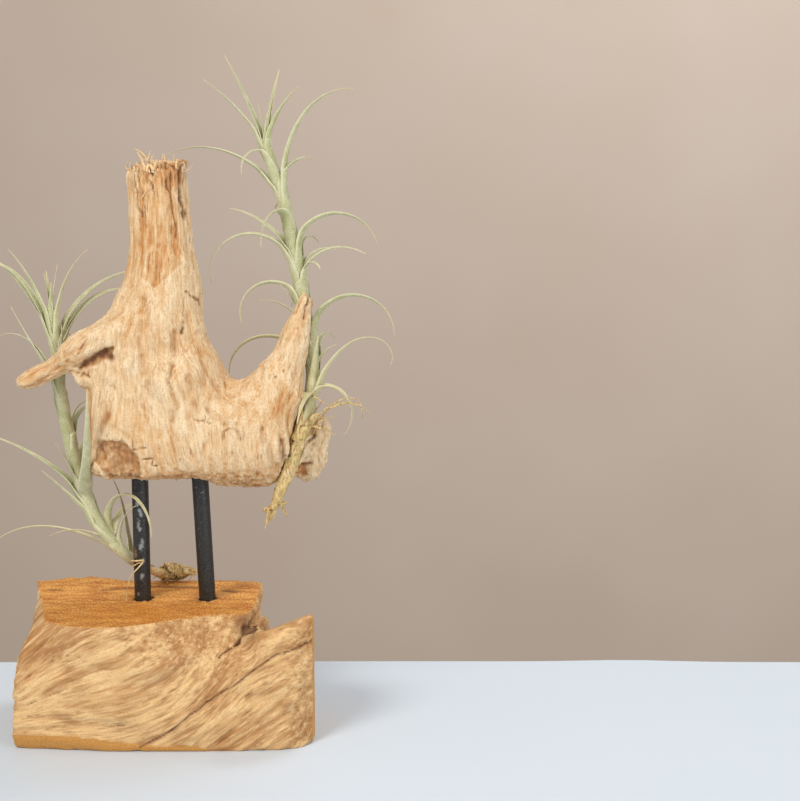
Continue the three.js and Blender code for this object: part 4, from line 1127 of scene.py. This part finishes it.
def broken_fibres():
    """Torn fibres that stand up from the broken end, and a fringe that hangs below its rim."""
    rng = np.random.default_rng(41)
    lines = []
    for count, lengths, thickness, tips, most_lean in FIBRES:
        for _ in range(count):
            turn = rng.uniform(0, 2 * math.pi)
            out = math.sqrt(rng.uniform(0, 1))
            x, y = at_break(turn, out)
            start = np.array([x, y, BREAK_HEIGHT + BREAK_SLOPE * x - FIBRE_SUNK * MM])
            lean = most_lean * out * rng.uniform(-0.3, 1.0)
            way = unit(np.array([lean * math.cos(turn) + rng.normal(0, 0.12), lean * math.sin(turn), 1.0]))
            bend = rng.normal(0, 0.45, 3)
            extra = sum(tall * math.exp(-((x / MM - cx) ** 2 + (y / MM - cy) ** 2) / wide**2)
                        for cx, cy, wide, tall in CLUMPS)
            length = (rng.uniform(*lengths) + extra * rng.uniform(0.3, 1.0) + FIBRE_SUNK) * MM
            t = np.linspace(0, 1, 6)[:, None]
            pale = np.clip(0.75 - 30 * x + rng.uniform(-0.5, 0.5), 0, 1)
            line = start + length * (way * t + bend * t**2 * 0.5)
            lines.append((line, rng.uniform(*thickness) * MM, rng.uniform(*tips), pale))
    for row in SPIKES:
        foot, point, thick = np.array(row[:3]) * MM, np.array(row[3:6]) * MM, row[6] * MM
        t = np.linspace(0, 1, 8)[:, None]
        sag = 0.0006 * np.sin(math.pi * t) * rng.normal(0, 1, 3)
        lines.append((foot * (1 - t) + point * t + sag, thick, 0.25, rng.uniform(0.7, 1.0)))
    for _ in range(BEARD):
        turn = rng.uniform(1.02, 1.98) * math.pi
        start = np.array([*at_break(turn, BEARD_OUT), BREAK_HEIGHT - rng.uniform(-0.002, 0.006)])
        out = np.array([math.cos(turn), math.sin(turn), 0])
        t = np.linspace(0, 1, 7)[:, None]
        length = rng.uniform(0.003, 0.010)
        fall = out * 0.0011 * np.sin(3 * t) - UP * length * t + rng.normal(0, 0.0015, 3) * t**2
        lines.append((start + fall, rng.uniform(0.00015, 0.0003), 0.3, rng.uniform(0.3, 1)))
    return strands_mesh("driftwood_torn_fibres", lines, 4)


# Thin strands, by their corners (x, y, z): roots of the left plant, and wisps of leaf beside the right one.
STRAND_THICK = 0.0007
ROOTS = [
    [-24, 18, 114, -30, 5, 119, -25, -3.5, 121.5, -20, -4.5, 122.2, -20.4, -5, 120.5, -24, -5, 116.3, -29.2,
     -5, 110.4, -32.2, -5, 101, -33, -5, 91.2],
    [-24, 18, 114, -29, 4, 115, -24, -3, 119.5, -21.5, -4, 120],
]
WISPS = [
    [103, 4, 214, 106.5, -3, 223, 110.3, -4, 227.9, 115.8, -4, 234.5, 121.8, -4, 238.9, 127.5, -4, 240.8,
     132.5, -4, 240.4, 137, -4, 237, 138.5, -4, 226.8],
    [100.5, 6, 244, 103.5, -3, 242, 107.2, -4.5, 240.3, 111.5, -4.5, 237.3, 116.5, -4.5, 234],
    [103, 4, 220, 107.5, -4, 225, 114.1, -5, 226.8, 117.9, -5, 227.9],
]
STRANDS = [  # piece, node, lines, share of their thickness at the tip, and tint
    ("left_plant_root", "left_plant_dry_base", ROOTS, 0.5, 0.3),
    ("right_plant_wisps", "right_plant_dry_base", WISPS, 0.4, 0.1),
]


# ---------------------------------------------------------------- the pieces
def dress_wood():
    put("driftwood_body", carve_driftwood(), driftwood_finish(), "driftwood")
    put("driftwood_torn_fibres", broken_fibres(), torn_finish(), "driftwood")
    put("base_block_wood", carve_block(), block_finish(), "base_block")
    paint = paint_finish()
    for side in ("left", "right"):
        put(f"rod_{side}_bar", rod_mesh(side), paint, f"rod_{side}")


def dress_plants():
    green, straw = leaf_finish(), dry_finish()
    for side, (rows, dry_length, leaf_rows, dry_rows, slim, scales) in PLANTS.items():
        stem = Stem(rows, dry_length)
        hearts = [
            (stem.length / MM - 6, 20 + i * GOLDEN_TURN, 2, 10, 36 - 6 * i, 1, 3.6) for i in range(HEARTS)
        ]
        living = []
        for i, row in enumerate(leaf_rows + hearts):
            age = 0.35 * smooth(stem.dry + OLD_LEAVES - row[0] * MM, 0.0, OLD_LEAVES)
            living.append(leaf(stem, row, i, age))
        living.append(stem_core(stem, stem.dry + 0.0004, stem.length, 0.0))
        name = f"{side}_plant_leaves"
        put(name, skins_mesh(name, living), green, f"{side}_plant_shoot")
        dry = [leaf(stem, row, 100 + i, 1.0, 1.0) for i, row in enumerate(dry_rows)]
        dry += dry_scales(stem, *scales)
        dry.append(stem_core(stem, 0.0, stem.dry, 1.0, slim, 0.6))
        name = f"{side}_plant_dry_leaves"
        put(name, skins_mesh(name, dry), straw, f"{side}_plant_dry_base")
    for name, node, rows, tip, tint in STRANDS:
        curves = [through(np.reshape(row, (-1, 3)) * MM, 8, even_span) for row in rows]
        mesh = strands_mesh(name, [(curve, STRAND_THICK, tip, tint) for curve in curves], 8)
        put(name, mesh, straw, node)


# ---------------------------------------------------------------- table, wall, light and camera
TABLE_BACK = 0.126  # where the table ends behind the object
TABLE_ENDS = (-1.6, 1.9)
TABLE_FRONT = -1.6
WALL_AWAY = 2.5
WALL_HALF = (4, 3)


def dress_stage():
    across = np.linspace(*TABLE_ENDS, 140)
    back = TABLE_BACK + 0.004 * bell(across - 0.35, 0.05) + 0.0012 * np.sin(across * 9)
    rows = []
    for x, b in zip(across, back):
        rows += [(x, TABLE_FRONT, 0.0), (x, b - 0.004, 0.0), (x, b, -0.003), (x, b, -0.04)]
    starts = [i * 4 + k for i in range(len(across) - 1) for k in range(3)]
    table = mesh_from("table", rows, [(a, a + 4, a + 5, a + 1) for a in starts])
    table.materials.append(plain("table_top", (205, 217, 229), 0.5))
    w, h = WALL_HALF
    corners = [(x, WALL_AWAY, z) for x, z in ((-w, -h), (w, -h), (w, h), (-w, h))]
    wall = mesh_from("wall", corners, [(0, 1, 2, 3)])
    wall.materials.append(plain("wall_paint", (196, 178, 162), 0.9))
    for mesh in (table, wall):
        piece = bpy.data.objects.new(mesh.name, mesh)
        bpy.context.scene.collection.objects.link(piece)


CAMERA_AT = (0.165, -1.0485, 0.4232)
CAMERA_DOWN = 10  # degrees below level
FOCAL_PIXELS = 1500
PICTURE_HEIGHT = 801  # its larger side, in pixels
SENSOR = 36.0
ROOM_LIGHT = (0.78, 0.75, 0.72, 1)
LAMPS = {  # where each stands, what it faces, its size, power and colour
    "key": ((-0.9, -1.3, 1.5), (0, 0, 0.2), 0.9, 28.5, (1.0, 0.97, 0.93)),
    "fill": ((1.3, -1.2, 0.7), (0, 0, 0.2), 1.2, 13, (1.0, 1.0, 1.0)),
    "wall_light": ((0.9, 0.9, 2.2), (0.6, WALL_AWAY, 0.3), 1.0, 30, (1.0, 1.0, 1.0)),
    "wall_right_light": ((2.2, 0.9, 0.9), (1.6, WALL_AWAY, 0.1), 0.9, 8, (0.74, 0.90, 1.0)),
}


def dress_studio():
    scene = bpy.context.scene
    lens = bpy.data.cameras.new("camera")
    lens.sensor_width = SENSOR
    lens.lens = SENSOR * FOCAL_PIXELS / PICTURE_HEIGHT
    camera = bpy.data.objects.new("camera", lens)
    camera.location = CAMERA_AT
    camera.rotation_euler = (math.radians(90 - CAMERA_DOWN), 0, 0)
    scene.collection.objects.link(camera)
    scene.camera = camera
    world = bpy.data.worlds.new("room")
    world.use_nodes = True
    world.node_tree.nodes["Background"].inputs["Color"].default_value = ROOM_LIGHT
    world.node_tree.nodes["Background"].inputs["Strength"].default_value = 0.55
    scene.world = world
    for name, (at, target, size, power, color) in LAMPS.items():
        light = bpy.data.lights.new(name, "AREA")
        light.shape = "DISK"
        light.size = size
        light.energy = power
        light.color = color
        holder = bpy.data.objects.new(name, light)
        holder.location = at
        holder.rotation_euler = (Vector(target) - Vector(at)).to_track_quat("-Z", "Y").to_euler()
        scene.collection.objects.link(holder)
    scene.view_settings.view_transform = "Standard"


dress_wood()
dress_plants()
dress_stage()
dress_studio()
